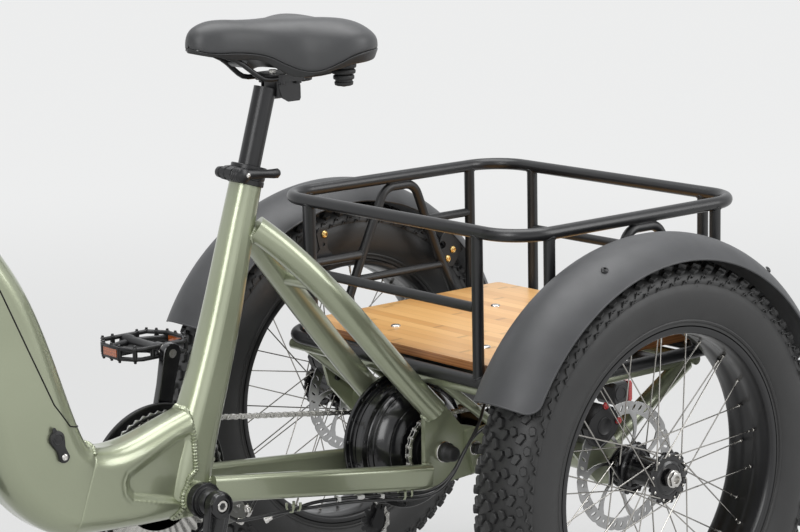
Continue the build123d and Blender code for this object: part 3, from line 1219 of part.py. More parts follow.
LAMP = Vector(*head_point(CROWN_START + CROWN_HEIGHT / 2, FORK_OFFSET + 2 * STANCHION_RADIUS))
LAMP_RADIUS = 30.0
with BuildPart() as headlight:
    with BuildSketch(Plane(origin=(LAMP.X + 6, 0, LAMP.Z + 34), x_dir=(0, 1, 0), z_dir=(1, 0, 0))):
        Circle(LAMP_RADIUS)
    extrude(amount=42)
    with BuildSketch(Plane(origin=(LAMP.X - 16, 0, LAMP.Z - 6))):
        Rectangle(48, 20)
    extrude(amount=16)
    rod((LAMP.X + 4, 0, LAMP.Z - 4), (LAMP.X + 22, 0, LAMP.Z + 30), 7)
    add(fork.part, mode=Mode.SUBTRACT)
finish("headlight", headlight)

FRONT_FENDER_FROM = 42.0
FRONT_FENDER_TO = 194.0
STAY_END_DEG = radians(FRONT_FENDER_TO - 180.0 - 6.0)
STAY_END_RADIUS = FENDER_RADIUS - FENDER_DROP + 1.0
stay_x = WHEELBASE - STAY_END_RADIUS * cos(STAY_END_DEG)
stay_z = WHEEL_Z - STAY_END_RADIUS * sin(STAY_END_DEG)
with BuildPart() as front_fender:
    fender_shell(front_centre, FRONT_FENDER_WIDTH, FRONT_FENDER_FROM, FRONT_FENDER_TO)
    crown_foot = Vector(*head_point(CROWN_START + 4, FORK_OFFSET / 2))
    down = Vector(*front_centre) - crown_foot
    rod(tuple(crown_foot), tuple(crown_foot + down.normalized() * (down.length - FENDER_RADIUS + 1.5)), 8)
    for side in (1, -1):
        rod(head_point(-6, FORK_OFFSET - 12, side * (FORK_LEG_Y - 10)),
            at(stay_x, side * (FRONT_FENDER_WIDTH / 2 - 1), stay_z), 2.5)
    add(fork.part, mode=Mode.SUBTRACT)
finish("front_fender", front_fender)

FRONT_CALIPER_DEG = 142.0
with BuildPart() as front_caliper:
    caliper(WHEELBASE, FRONT_ROTOR_Y, FRONT_ROTOR_Y - 8, FORK_LEG_Y - 11, FRONT_CALIPER_DEG)
    add(fork.part, mode=Mode.SUBTRACT)
finish("front_caliper", front_caliper)
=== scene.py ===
import bpy
import bmesh
import random
from math import asin, atan2, copysign, cos, dist, exp, hypot, pi, radians, sin, sqrt, tan, tau
from mathutils import Matrix, Vector
from mathutils.bvhtree import BVHTree


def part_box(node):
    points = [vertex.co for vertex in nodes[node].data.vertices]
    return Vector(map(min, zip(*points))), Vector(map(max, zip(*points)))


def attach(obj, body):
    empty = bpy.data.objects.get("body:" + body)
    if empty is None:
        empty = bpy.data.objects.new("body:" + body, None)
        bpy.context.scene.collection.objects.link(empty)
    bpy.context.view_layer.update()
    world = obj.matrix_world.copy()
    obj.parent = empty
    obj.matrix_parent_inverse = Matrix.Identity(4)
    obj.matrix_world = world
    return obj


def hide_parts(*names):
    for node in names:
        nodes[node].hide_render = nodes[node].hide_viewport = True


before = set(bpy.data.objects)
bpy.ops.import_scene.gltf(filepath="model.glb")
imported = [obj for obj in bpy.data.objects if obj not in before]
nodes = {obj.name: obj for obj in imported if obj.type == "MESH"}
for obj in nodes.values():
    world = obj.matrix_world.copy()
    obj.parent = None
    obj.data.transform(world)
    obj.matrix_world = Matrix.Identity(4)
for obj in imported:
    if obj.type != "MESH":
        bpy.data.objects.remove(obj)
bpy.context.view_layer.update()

# Places are in millimetres ahead of the rear axle, left of the middle and above the ground.
MM = 0.001
REAR_X = -591.39
ORIGIN = Vector((REAR_X, 0, 0))
AHEAD, LEFT, UP = Vector((1, 0, 0)), Vector((0, 1, 0)), Vector((0, 0, 1))
SIDES = ((1, "left"), (-1, "right"))
WHEEL_Z = 296.0
TRACK = 682.0
WHEELBASE = 1195.0
REAR_HUB, FRONT_HUB = Vector((0, 0, WHEEL_Z)), Vector((WHEELBASE, 0, WHEEL_Z))
MOTOR = Vector((130, 0, 297))
BB = Vector((527, 0, 304))


def at(dx, y, z):
    """Metres in the row frame from millimetres ahead of the rear axle, left, and up."""
    return Vector(((REAR_X + dx) * MM, y * MM, z * MM))


def ray(angle, radius=1.0):
    """A vector in a wheel's plane, turned up from straight ahead by an angle in radians."""
    return Vector((radius * cos(angle), 0, radius * sin(angle)))


def oval(centre, long, wide, count, tilt=0.0):
    """A closed outline of (a, b) pairs: an ellipse whose long half is turned by an angle."""
    line = []
    for k in range(count):
        p, q = long * cos(tau * k / count), wide * sin(tau * k / count)
        line.append((centre[0] + p * cos(tilt) - q * sin(tilt), centre[1] + p * sin(tilt) + q * cos(tilt)))
    return line


def arc(radius, first, sweep, steps, centre=0.0):
    """Points (a, b) on an arc about (centre, 0), its angles in degrees."""
    angles = [radians(first + sweep * k / steps) for k in range(steps + 1)]
    return [(centre + radius * cos(a), radius * sin(a)) for a in angles]


def evaluated(obj):
    """The mesh that an object comes to with its modifiers; the object goes."""
    bpy.context.scene.collection.objects.link(obj)
    bpy.context.view_layer.update()
    mesh = bpy.data.meshes.new_from_object(obj.evaluated_get(bpy.context.evaluated_depsgraph_get()))
    bpy.data.objects.remove(obj)
    return mesh


def piece(name, mesh, material, body="frame", replaces=()):
    """A mesh as a visible piece that rides on a body, fills its material's slot and stands for CAD nodes."""
    mesh.name = name
    mesh.materials.clear()
    mesh.materials.append(material)
    obj = bpy.data.objects.new(name, mesh)
    bpy.context.scene.collection.objects.link(obj)
    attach(obj, body)
    if replaces:
        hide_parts(*replaces)
    return obj


# ------------------------------------------------------------------ building meshes
class Parts:
    """Collects the points and faces of one piece."""

    def __init__(self):
        self.points = []
        self.faces = []

    def grid(self, rows, close_rows=False, close_columns=False, caps=False):
        """Faces between rows of points. Each row has as many points."""
        first = len(self.points)
        width = len(rows[0])
        for row in rows:
            self.points.extend(Vector(p) for p in row)
        count = len(rows)
        for r in range(count if close_rows else count - 1):
            s = (r + 1) % count
            for c in range(width if close_columns else width - 1):
                d = (c + 1) % width
                self.faces.append((first + r * width + c, first + r * width + d,
                                   first + s * width + d, first + s * width + c))
        if caps:
            self.faces.append(tuple(first + c for c in reversed(range(width))))
            self.faces.append(tuple(first + (count - 1) * width + c for c in range(width)))
        return self

    def lathe(self, profile, centre, axis=LEFT, around=48, closed=False, six=None):
        """Turns (along, radius) pairs about an axis. `six` names rows whose rim is a hexagon."""
        axis = Vector(axis).normalized()
        u = axis.orthogonal().normalized()
        v = axis.cross(u)
        rows = []
        for index, (along, radius) in enumerate(profile):
            row = []
            for step in range(around):
                angle = tau * step / around
                reach = radius
                if six and index in six:
                    turn = (angle + pi / 6) % (pi / 3) - pi / 6
                    reach = radius / cos(turn)
                row.append(Vector(centre) + axis * along + (u * cos(angle) + v * sin(angle)) * reach)
            rows.append(row)
        ends = not closed and (profile[0][1] > 0.02 or profile[-1][1] > 0.02)
        return self.grid(rows, close_rows=closed, close_columns=True, caps=ends)

    def tube(self, path, radius, around=10, closed=False, flat=1.0, up=None):
        """A round or flattened bar along points. The radius is one number or one for each point."""
        path = [Vector(p) for p in path]
        count = len(path)
        radii = radius if hasattr(radius, "__len__") else [radius] * count
        rows = []
        normal = None
        for index, point in enumerate(path):
            before = path[index - 1] if index or closed else point
            after = path[(index + 1) % count] if index < count - 1 or closed else point
            tangent = (after - before).normalized()
            if normal is None:
                normal = tangent.orthogonal() if up is None else Vector(up)
            normal = (normal - tangent * normal.dot(tangent)).normalized()
            side = tangent.cross(normal)
            rows.append([point + (normal * cos(tau * k / around) * flat
                                  + side * sin(tau * k / around)) * radii[index]
                         for k in range(around)])
        return self.grid(rows, close_rows=closed, close_columns=True, caps=not closed)

    def prism(self, outline, origin, across, up, depth, chamfer=0.0):
        """A plate with an outline of (a, b) pairs along two directions, its edges chamfered."""
        across = Vector(across).normalized()
        up = Vector(up).normalized()
        out = across.cross(up)
        count = len(outline)

        def ring(inset, along):
            row = []
            for index, (a, b) in enumerate(outline):
                p, q = outline[index - 1], outline[(index + 1) % count]
                one = Vector((a - p[0], b - p[1])).normalized()
                two = Vector((q[0] - a, q[1] - b)).normalized()
                inward = Vector((-(one.y + two.y), one.x + two.x))
                inward = inward.normalized() / max(0.35, inward.length / 2)
                row.append(Vector(origin) + across * (a + inward.x * inset) + up * (b + inward.y * inset)
                           + out * along)
            return row

        rows = [ring(0, 0), ring(0, depth)] if not chamfer else [
            ring(chamfer, 0), ring(0, chamfer), ring(0, depth - chamfer), ring(chamfer, depth)]
        return self.grid(rows, close_columns=True, caps=True)

    def box(self, centre, size, axes=(AHEAD, LEFT, UP), chamfer=0.0):
        a, b, c = (Vector(x).normalized() for x in axes)
        w, d, h = size
        outline = ((-w / 2, -d / 2), (w / 2, -d / 2), (w / 2, d / 2), (-w / 2, d / 2))
        return self.prism(outline, Vector(centre) - c * h / 2, a, b, h, chamfer)

    def bolt(self, seat, out, radius, kind="socket", height=None):
        """A screw head that stands on its seat: socket, button or hexagon."""
        h = height or radius * (0.9 if kind == "socket" else 0.55)
        r = radius
        if kind == "hexagon":
            profile = ((0, r * 0.9), (h * 0.9, r * 0.9), (h, r * 0.8), (h, 0.01))
            return self.lathe(profile, seat, out, 24, six=(0, 1))
        if kind == "socket":
            profile = ((0, r), (h * 0.85, r), (h, r * 0.86), (h, r * 0.56), (h * 0.98, r * 0.46),
                       (h * 0.4, r * 0.46), (h * 0.3, 0.01))
        else:
            profile = ((0, r), (h * 0.3, r), (h * 0.75, r * 0.8), (h, r * 0.48), (h * 0.95, r * 0.38),
                       (h * 0.45, r * 0.34), (h * 0.35, 0.01))
        return self.lathe(profile, seat, out, 24, six=(4, 5))

    def washer(self, seat, out, outer, inner, thick):
        profile = ((0, inner), (0, outer), (thick * 0.7, outer), (thick, outer - thick * 0.3), (thick, inner))
        return self.lathe(profile, seat, out, 32, closed=True)

    def emit(self, name, material, body="frame", replaces=(), angle=35.0, smooth=0, bevel=0.0, slot=None):
        """Makes the piece, shaded smooth apart from edges sharper than an angle."""
        mesh = bpy.data.meshes.new(name)
        mesh.from_pydata([(p + ORIGIN) * MM for p in self.points], [], self.faces)
        work = bmesh.new()
        work.from_mesh(mesh)
        bmesh.ops.recalc_face_normals(work, faces=work.faces)
        work.to_mesh(mesh)
        work.free()
        mesh.shade_smooth()
        mesh.set_sharp_from_angle(angle=radians(angle))
        obj = piece(name, mesh, material, body, replaces)
        if bevel:
            break_edges(obj, "edge", bevel)
        if smooth:
            subdivide = obj.modifiers.new("round", "SUBSURF")
            subdivide.levels = smooth
            subdivide.render_levels = smooth
        return obj


def break_edges(obj, name, width):
    edge = obj.modifiers.new(name, "BEVEL")
    edge.width = width * MM
    edge.segments = 2
    edge.limit_method = "ANGLE"
    edge.angle_limit = radians(40)
    return edge


def flat_plate(name, outlines, origin, across, up, thick, material, body="frame", replaces=(), edge=0.2):
    """A thin plate cut from closed outlines, the first outside and the others holes."""
    curve = bpy.data.curves.new(name, "CURVE")
    curve.dimensions = "2D"
    curve.fill_mode = "BOTH"
    curve.extrude = (thick / 2 - edge) * MM
    curve.bevel_depth = edge * MM
    curve.bevel_resolution = 1
    for outline in outlines:
        line = curve.splines.new("POLY")
        line.points.add(len(outline) - 1)
        for point, (a, b) in zip(line.points, outline):
            point.co = (a * MM, b * MM, 0, 1)
        line.use_cyclic_u = True
    mesh = evaluated(bpy.data.objects.new(name + "_outline", curve))
    a, b = across.normalized(), up.normalized()
    c = a.cross(b)
    o = at(*origin)
    mesh.transform(Matrix(((a.x, b.x, c.x, o.x), (a.y, b.y, c.y, o.y), (a.z, b.z, c.z, o.z), (0, 0, 0, 1))))
    mesh.shade_smooth()
    mesh.set_sharp_from_angle(angle=radians(30))
    return piece(name, mesh, material, body, replaces)


def held_line(name, route, radius):
    """A cable or hose fixed along its length, as a smooth tube through its route."""
    curve = bpy.data.curves.new(name, "CURVE")
    curve.dimensions = "3D"
    spline = curve.splines.new("NURBS")
    spline.points.add(len(route) - 1)
    for point, place in zip(spline.points, route):
        point.co = (*at(*place), 1)
    spline.order_u = 3
    spline.use_endpoint_u = True
    spline.resolution_u = 8
    curve.bevel_depth = radius * MM
    curve.bevel_resolution = 3
    curve.use_fill_caps = True
    mesh = evaluated(bpy.data.objects.new(name + "_line", curve))
    mesh.shade_smooth()
    return piece(name, mesh, HOSE)


# ------------------------------------------------------------------ materials
class Nodes:
    """A small helper to write a material's nodes."""

    def __init__(self, name):
        self.material = bpy.data.materials.new(name)
        self.material.use_nodes = True
        self.tree = self.material.node_tree
        self.shader = self.tree.nodes["Principled BSDF"]
        self.coords = self.tree.nodes.new("ShaderNodeTexCoord")

    def add(self, kind, **settings):
        node = self.tree.nodes.new(kind)
        for key, value in settings.items():
            if key.startswith("in_"):
                name = key[3:].replace("_", " ")
                node.inputs[name].default_value = value
            else:
                setattr(node, key, value)
        return node

    def link(self, out, into):
        self.tree.links.new(out, into)

    def set(self, **values):
        for key, value in values.items():
            self.shader.inputs[key.replace("_", " ")].default_value = value
        return self

    def mapped(self, scale=(1, 1, 1), rotation=(0, 0, 0)):
        node = self.add("ShaderNodeMapping")
        node.inputs["Scale"].default_value = scale
        node.inputs["Rotation"].default_value = rotation
        self.link(self.coords.outputs["Object"], node.inputs["Vector"])
        return node.outputs["Vector"]

    def noise(self, scale, detail=3.0, rough=0.5, vector=None):
        node = self.add("ShaderNodeTexNoise", in_Scale=scale, in_Detail=detail, in_Roughness=rough)
        self.link(vector or self.coords.outputs["Object"], node.inputs["Vector"])
        return node.outputs["Fac"]

    def ramp(self, value, stops, smooth=False):
        node = self.add("ShaderNodeValToRGB")
        if smooth:
            node.color_ramp.interpolation = "B_SPLINE"
        elements = node.color_ramp.elements
        while len(elements) < len(stops):
            elements.new(0.5)
        for element, (place, colour) in zip(elements, stops):
            element.position = place
            if not hasattr(colour, "__len__"):
                colour = (colour, colour, colour)
            element.color = (*colour, 1)
        self.link(value, node.inputs["Fac"])
        return node.outputs["Color"]

    def spread(self, value, low, high):
        node = self.add("ShaderNodeMapRange")
        node.inputs["To Min"].default_value = low
        node.inputs["To Max"].default_value = high
        self.link(value, node.inputs["Value"])
        return node.outputs["Result"]

    def colour(self, value):
        self.link(value, self.shader.inputs["Base Color"])
        return self

    def rough(self, value, low, high):
        self.link(self.spread(value, low, high), self.shader.inputs["Roughness"])
        return self

    def bump(self, height, strength, distance=0.0005, under=None):
        node = self.add("ShaderNodeBump")
        node.inputs["Strength"].default_value = strength
        node.inputs["Distance"].default_value = distance
        self.link(height, node.inputs["Height"])
        if under is not None:
            self.link(under, node.inputs["Normal"])
        self.link(node.outputs["Normal"], self.shader.inputs["Normal"])
        return node.outputs["Normal"]


def paint(name, dark, light, metallic, rough, coat, grain=0.05):
    """Metallic paint under clear coat: fine flakes, faint cloudiness and a little orange peel."""
    m = Nodes(name)
    m.set(Metallic=metallic, Coat_Weight=coat, Coat_Roughness=0.06)
    broad = m.noise(5.0, 2.0)
    flake = m.noise(3200.0, 1.0)
    mix = m.add("ShaderNodeMix", data_type="FLOAT")
    mix.inputs[0].default_value = 0.45
    m.link(broad, mix.inputs[2])
    m.link(flake, mix.inputs[3])
    m.colour(m.ramp(mix.outputs[0], ((0.3, dark), (0.7, light))))
    m.rough(broad, rough - 0.03, rough + 0.04)
    m.bump(m.noise(420.0, 2.0), grain, 0.0002)
    return m.material


def plain(name, colour, rough, metallic=0.0, grain=0.1, scale=700.0, vary=0.15, coat=0.0, specular=0.5):
    """A moulded, cast or coated surface: fine grain, uneven tone and uneven gloss."""
    m = Nodes(name)
    m.set(Metallic=metallic, Coat_Weight=coat, Specular_IOR_Level=specular)
    tone = m.noise(25.0, 4.0)
    low = tuple(c * (1 - vary) for c in colour)
    high = tuple(min(1.0, c * (1 + vary)) for c in colour)
    m.colour(m.ramp(tone, ((0.3, low), (0.7, high))))
    m.rough(m.noise(60.0, 3.0), rough - 0.06, rough + 0.08)
    m.bump(m.noise(scale, 3.0), grain, 0.0003)
    return m.material


def vinyl(name):
    """Stretched vinyl over foam: a pebbled skin of small cells and a soft, uneven gloss."""
    m = Nodes(name)
    cells = m.add("ShaderNodeTexVoronoi", feature="DISTANCE_TO_EDGE")
    cells.inputs["Scale"].default_value = 620.0
    m.link(m.coords.outputs["Object"], cells.inputs["Vector"])
    pebble = m.ramp(cells.outputs["Distance"], ((0.0, 0.0), (0.22, 1.0)), True)
    m.colour(m.ramp(m.noise(18.0, 4.0), ((0.3, (0.030, 0.031, 0.032)), (0.7, (0.043, 0.044, 0.046)))))
    m.rough(m.noise(90.0, 3.0), 0.40, 0.50)
    fine = m.bump(m.noise(2400.0, 2.0), 0.12, 0.0002)
    m.bump(pebble, 0.16, 0.0002, fine)
    return m.material


def knurl(name, colour, pitch, rough, metallic=0.0):
    """Fine parallel ribs across Y with a grained skin."""
    m = Nodes(name)
    m.set(Metallic=metallic)
    ribs = m.add("ShaderNodeTexWave", wave_type="BANDS", bands_direction="Y", in_Scale=1.0 / pitch,
                 in_Distortion=0.0)
    m.link(m.coords.outputs["Object"], ribs.inputs["Vector"])
    m.colour(m.ramp(m.noise(40.0), ((0.3, tuple(c * 0.8 for c in colour)), (0.7, colour))))
    m.rough(m.noise(80.0), rough - 0.05, rough + 0.06)
    m.bump(ribs.outputs["Fac"], 0.6, 0.0006, m.bump(m.noise(1500.0), 0.2, 0.0002))
    return m.material


def bamboo(name):
    """Laminated strips of bamboo along Y: each strip its own tone, fine fibres and dark nodes, with
    the layers of the board showing on its edges."""
    m = Nodes(name)
    m.set(Coat_Weight=0.25, Coat_Roughness=0.25)
    split = m.add("ShaderNodeSeparateXYZ")
    m.link(m.coords.outputs["Object"], split.inputs[0])

    def maths(operation, a, b=None):
        node = m.add("ShaderNodeMath", operation=operation)
        for socket, value in zip(node.inputs, (a, b)):
            if hasattr(value, "links"):
                m.link(value, socket)
            elif value is not None:
                socket.default_value = value
        return node.outputs[0]

    strip = maths("FLOOR", maths("DIVIDE", split.outputs["X"], 0.0195))
    tone = m.add("ShaderNodeTexWhiteNoise", noise_dimensions="1D")
    m.link(strip, tone.inputs["W"])
    fibres = m.noise(1.0, 5.0, 0.6, m.mapped((420.0, 9.0, 420.0)))
    streaks = m.noise(1.0, 3.0, 0.5, m.mapped((90.0, 3.0, 90.0)))
    blend = m.add("ShaderNodeMix", data_type="FLOAT")
    blend.inputs[0].default_value = 0.55
    m.link(tone.outputs["Value"], blend.inputs[2])
    m.link(maths("MULTIPLY", maths("ADD", fibres, streaks), 0.5), blend.inputs[3])
    top = m.ramp(blend.outputs[0], ((0.15, (0.52, 0.255, 0.080)), (0.45, (0.66, 0.355, 0.120)),
                                    (0.8, (0.77, 0.455, 0.175))))
    along = maths("FRACT", maths("ADD", maths("DIVIDE", split.outputs["Y"], 0.26), tone.outputs["Value"]))
    knot = m.ramp(along, ((0.0, 0.55), (0.012, 0.82), (0.03, 1.0), (0.985, 1.0), (1.0, 0.55)))
    joint = m.ramp(maths("FRACT", maths("DIVIDE", split.outputs["X"], 0.0195)),
                   ((0.0, 0.62), (0.035, 1.0), (0.965, 1.0), (1.0, 0.62)))
    shade = m.add("ShaderNodeMix", data_type="RGBA", blend_type="MULTIPLY")
    shade.inputs[0].default_value = 0.8
    m.link(top, shade.inputs[6])
    m.link(knot, shade.inputs[7])
    seams = m.add("ShaderNodeMix", data_type="RGBA", blend_type="MULTIPLY")
    seams.inputs[0].default_value = 0.7
    m.link(shade.outputs[2], seams.inputs[6])
    m.link(joint, seams.inputs[7])
    layers = m.ramp(maths("FRACT", maths("DIVIDE", split.outputs["Z"], 0.004)),
                    ((0.0, (0.16, 0.058, 0.018)), (0.12, (0.34, 0.135, 0.042)), (0.6, (0.42, 0.18, 0.058)),
                     (1.0, (0.30, 0.11, 0.034))))
    normal = m.add("ShaderNodeNewGeometry")
    facing = m.add("ShaderNodeSeparateXYZ")
    m.link(normal.outputs["Normal"], facing.inputs[0])
    side = m.add("ShaderNodeMix", data_type="RGBA")
    m.link(m.ramp(maths("ABSOLUTE", facing.outputs["Z"]), ((0.55, 1.0), (0.8, 0.0))), side.inputs[0])
    m.link(seams.outputs[2], side.inputs[6])
    m.link(layers, side.inputs[7])
    m.colour(side.outputs[2])
    m.rough(fibres, 0.30, 0.46)
    m.bump(fibres, 0.12, 0.0003, m.bump(joint, 0.25, 0.0003))
    return m.material


def lens(name, colour, pitch):
    """A moulded reflector or lamp lens: coloured clear plastic over small prisms, with painted shade in the creases
    between them.
    """
    m = Nodes(name)
    m.set(Coat_Weight=1.0, Coat_Roughness=0.04)
    prisms = m.add("ShaderNodeTexVoronoi", feature="DISTANCE_TO_EDGE", distance="CHEBYCHEV")
    prisms.inputs["Scale"].default_value = 1.0 / pitch
    prisms.inputs["Randomness"].default_value = 0.1
    m.link(m.coords.outputs["Object"], prisms.inputs["Vector"])
    # Painted shade: the colour darkens to under half towards each prism's edge, standing in for shade in the creases.
    m.colour(m.ramp(prisms.outputs["Distance"], ((0.0, tuple(c * 0.45 for c in colour)), (0.5, colour))))
    m.rough(m.noise(80.0), 0.14, 0.24)
    m.bump(prisms.outputs["Distance"], 0.5, 0.0006)
    return m.material


GREEN = paint("green_paint", (0.265, 0.290, 0.195), (0.345, 0.372, 0.262), 0.62, 0.30, 0.75)
BASKET = plain("basket_powder_coat", (0.0085, 0.0088, 0.0096), 0.38, 0.0, 0.12, 1400.0)
FENDER = plain("fender_powder_coat", (0.040, 0.041, 0.0435), 0.48, 0.0, 0.10, 1600.0)
RUBBER = plain("tyre_rubber", (0.0165, 0.0165, 0.0165), 0.50, 0.0, 0.25, 500.0)
RIM = plain("rim_black", (0.0085, 0.0085, 0.0095), 0.30, 0.0, 0.06, 900.0)
STEEL = plain("bright_steel", (0.60, 0.585, 0.56), 0.22, 1.0, 0.05, 300.0)
BRASS = plain("gold_zinc_steel", (0.72, 0.50, 0.20), 0.24, 1.0, 0.06, 400.0, 0.25)
CHAIN = plain("chain_steel", (0.56, 0.55, 0.52), 0.26, 1.0, 0.08, 600.0)
ROTOR = plain("rotor_steel", (0.42, 0.42, 0.42), 0.32, 1.0, 0.08, 900.0)
HUB = plain("hub_black", (0.0040, 0.0040, 0.0048), 0.20, 0.0, 0.05, 900.0, coat=0.2)
ANODISED = plain("anodised_black", (0.0105, 0.0105, 0.0115), 0.32, 0.2, 0.08, 1200.0)
GREY = plain("cast_grey", (0.085, 0.087, 0.090), 0.34, 0.6, 0.10, 900.0)
PLASTIC = plain("moulded_plastic", (0.0125, 0.0125, 0.0135), 0.46, 0.0, 0.18, 1500.0)
SOFT = plain("black_rubber", (0.0115, 0.0115, 0.0120), 0.55, 0.0, 0.22, 1200.0)
HOSE = plain("hose_jacket", (0.0095, 0.0095, 0.0100), 0.30, 0.0, 0.05, 900.0)
VINYL = vinyl("saddle_vinyl")
BASE = plain("saddle_base", (0.020, 0.0205, 0.0215), 0.46, 0.0, 0.16, 1300.0)
RIBBED = knurl("ribbed_rubber", (0.014, 0.014, 0.0145), 0.020, 0.55)
AMBER = lens("amber_lens", (0.80, 0.17, 0.02), 0.004)
RED = lens("red_lens", (0.70, 0.012, 0.014), 0.004)
SPOKE = plain("spoke_wire", (0.40, 0.385, 0.36), 0.24, 1.0, 0.05, 500.0)
GLASS = lens("lamp_glass", (0.62, 0.64, 0.66), 0.006)
SCREEN = plain("display_glass", (0.012, 0.014, 0.018), 0.10, 0.0, 0.02, 300.0, coat=1.0)
BAMBOO = bamboo("bamboo")

# The CAD nodes' materials, by the first word here that is in the node's name
LOOKS = (("fender_brackets", BASKET), ("tyre", RUBBER), ("_rim", RIM), ("spokes", STEEL), ("rotor", ROTOR),
         ("_hub", HUB), ("hub_", HUB), ("fender", FENDER), ("deck", BAMBOO), ("chains", CHAIN), ("differential", HUB),
         ("grips", SOFT), ("charge_port", SOFT), ("hoses", HOSE), ("display", PLASTIC), ("light", PLASTIC))
LOOKS += tuple((word, ANODISED) for word in ("caliper", "pedal", "motor_sprockets", "chainring", "crankset",
                                             "bottom_bracket", "derailleur", "stem", "levers", "seat_post"))
LOOKS += tuple((word, GREEN) for word in ("head_tube", "down_tube", "battery_cover", "lower_beam", "seat_tube",
                                          "dropouts", "stays", "axle_tubes", "subframe"))
for name, obj in nodes.items():
    obj.data.materials.clear()
    material = VINYL if name == "saddle" else next((material for word, material in LOOKS if word in name), BASKET)
    obj.data.materials.append(material)

# Cut and cast parts have their edges broken a little, so that they catch the light.
EDGES = {"crankset": 1.4, "chainring": 0.5, "bottom_bracket": 0.6, "dropouts": 0.9, "axle_tubes": 0.9,
         "stem": 1.0, "display": 1.2, "headlight": 1.2, "seat_post": 0.8, "battery_cover": 0.8,
         "cargo_deck": 1.0, "fork": 1.0, "charge_port_cap": 1.6, "rear_fenders": 0.5, "front_fender": 0.5,
         "head_tube": 0.8, "motor_sprockets": 0.3}
for name, width in EDGES.items():
    break_edges(nodes[name], "broken_edges", width).harden_normals = True


# ------------------------------------------------------------------ wheels
TREAD_PITCHES = 68


def tyre_radius_at(y):
    """The tread base's radius across the tyre, a little below the tops of the blocks."""
    t = min(1.0, abs(y) / 44.0)
    return 290.5 - 15.0 * t ** 2.6


def tyre(name, x, y, body, node):
    """A carcass with a ridged side wall, tread blocks over its crown and bent ribs on its shoulders."""
    side = [(-41, 206), (-41, 211.5), (-42.6, 212.2), (-43.6, 214.5), (-43.2, 216), (-44.4, 217.5),
            (-46.5, 223), (-49.0, 233), (-49.8, 244), (-49.4, 254), (-48.0, 262), (-46.8, 264), (-47.2, 265.4),
            (-46.0, 270)]
    half = side + [(q, tyre_radius_at(q)) for q in (-44, -40, -34, -27, -19, -10, 0)]
    hub = Vector((x, y, WHEEL_Z))
    carcass = Parts().lathe(half + [(-a, r) for a, r in reversed(half[:-1])], hub, LEFT, 160, closed=True)
    blocks = (  # across, length around, width, turn, height, share of the pitch
        (6.0, 15, 9.5, 24, 5.0, 0.0), (18.5, 13, 9, -30, 5.2, 0.25), (29.5, 15, 9.5, 22, 5.6, 0.0),
        (39.5, 12, 8.5, -18, 6.0, 0.5))
    shape = ((-0.5, -0.34), (-0.2, -0.5), (0.38, -0.42), (0.5, 0.1), (0.26, 0.5), (-0.42, 0.4))
    for number in range(TREAD_PITCHES):
        for far, length, width, turned, height, share in blocks:
            for across, turn, step in ((far, turned, share), (-far, -turned, (share + 0.5) % 1)):
                angle = tau * (number + step) / TREAD_PITCHES
                lean = atan2(tyre_radius_at(across - 2) - tyre_radius_at(across + 2), 4)
                around = ray(angle + pi / 2)
                out = (ray(angle) * cos(lean) + LEFT * sin(lean)).normalized()
                wide = around.cross(out)
                centre = hub + LEFT * across + ray(angle, tyre_radius_at(across))
                c, s = cos(radians(turn)), sin(radians(turn))
                rows = []
                for grow, lift in ((1.12, -1.5), (1.0, height - 0.9), (0.86, height)):
                    sizes = [(a * length * grow, b * width * grow) for a, b in shape]
                    rows.append([centre + around * (p * c - q * s) + wide * (p * s + q * c) + out * lift
                                 for p, q in sizes])
                carcass.grid(rows, close_columns=True, caps=True)
    ribs = ((0.1, 272.5, 46.6, 1.0), (0.6, 266.5, 48.2, 0.8))  # share of the pitch, radius, across, size
    for hand in (-1, 1):
        for number in range(TREAD_PITCHES):
            for share, radius, across, size in ribs:
                angle = tau * (number + share) / TREAD_PITCHES
                foot = hub + LEFT * (hand * across) + ray(angle, radius)
                carcass.tube([foot + ray(angle + pi / 2, a * size) + ray(angle, b * size)
                              for a, b in ((-7, -3.2), (-1.5, 3.4), (2.0, 0.2), (7.5, 1.6))], [0.5, 1.35, 1.25, 0.5], 6)
    rng = random.Random(5)
    for hand in (-1, 1):
        for _ in range(26):  # moulding hairs
            angle = rng.uniform(0, tau)
            spot = hub + LEFT * (hand * 49.0) + ray(angle, rng.uniform(238, 268))
            carcass.tube([spot, spot + LEFT * (hand * rng.uniform(0.8, 1.1))], [0.5, 0.25], 5)
    carcass.emit(name, RUBBER, body, (node,), angle=32)


def rim(name, x, y, body, node):
    """A wide double rim with a dropped middle."""
    profile = [(-38, 205), (-38, 209), (-39.4, 210), (-40.6, 209.4), (-41, 207.6), (-41, 200.5), (-40.2, 198.2),
               (-37.5, 196.4), (-33, 195.4), (-31.4, 194.9), (-26, 194.6), (-24, 194.0), (-12, 194.2), (-10.6, 194.9),
               (-4, 195.1)]
    profile = profile + [(-a, r) for a, r in reversed(profile)]
    Parts().lathe(profile, (x, y, WHEEL_Z), LEFT, 192, closed=True).emit(name, RIM, body, (node,), angle=50)


SPOKES = 18  # on each flange
SPOKE_LEAD = 62.0  # degrees that a spoke runs ahead between its flange and the rim


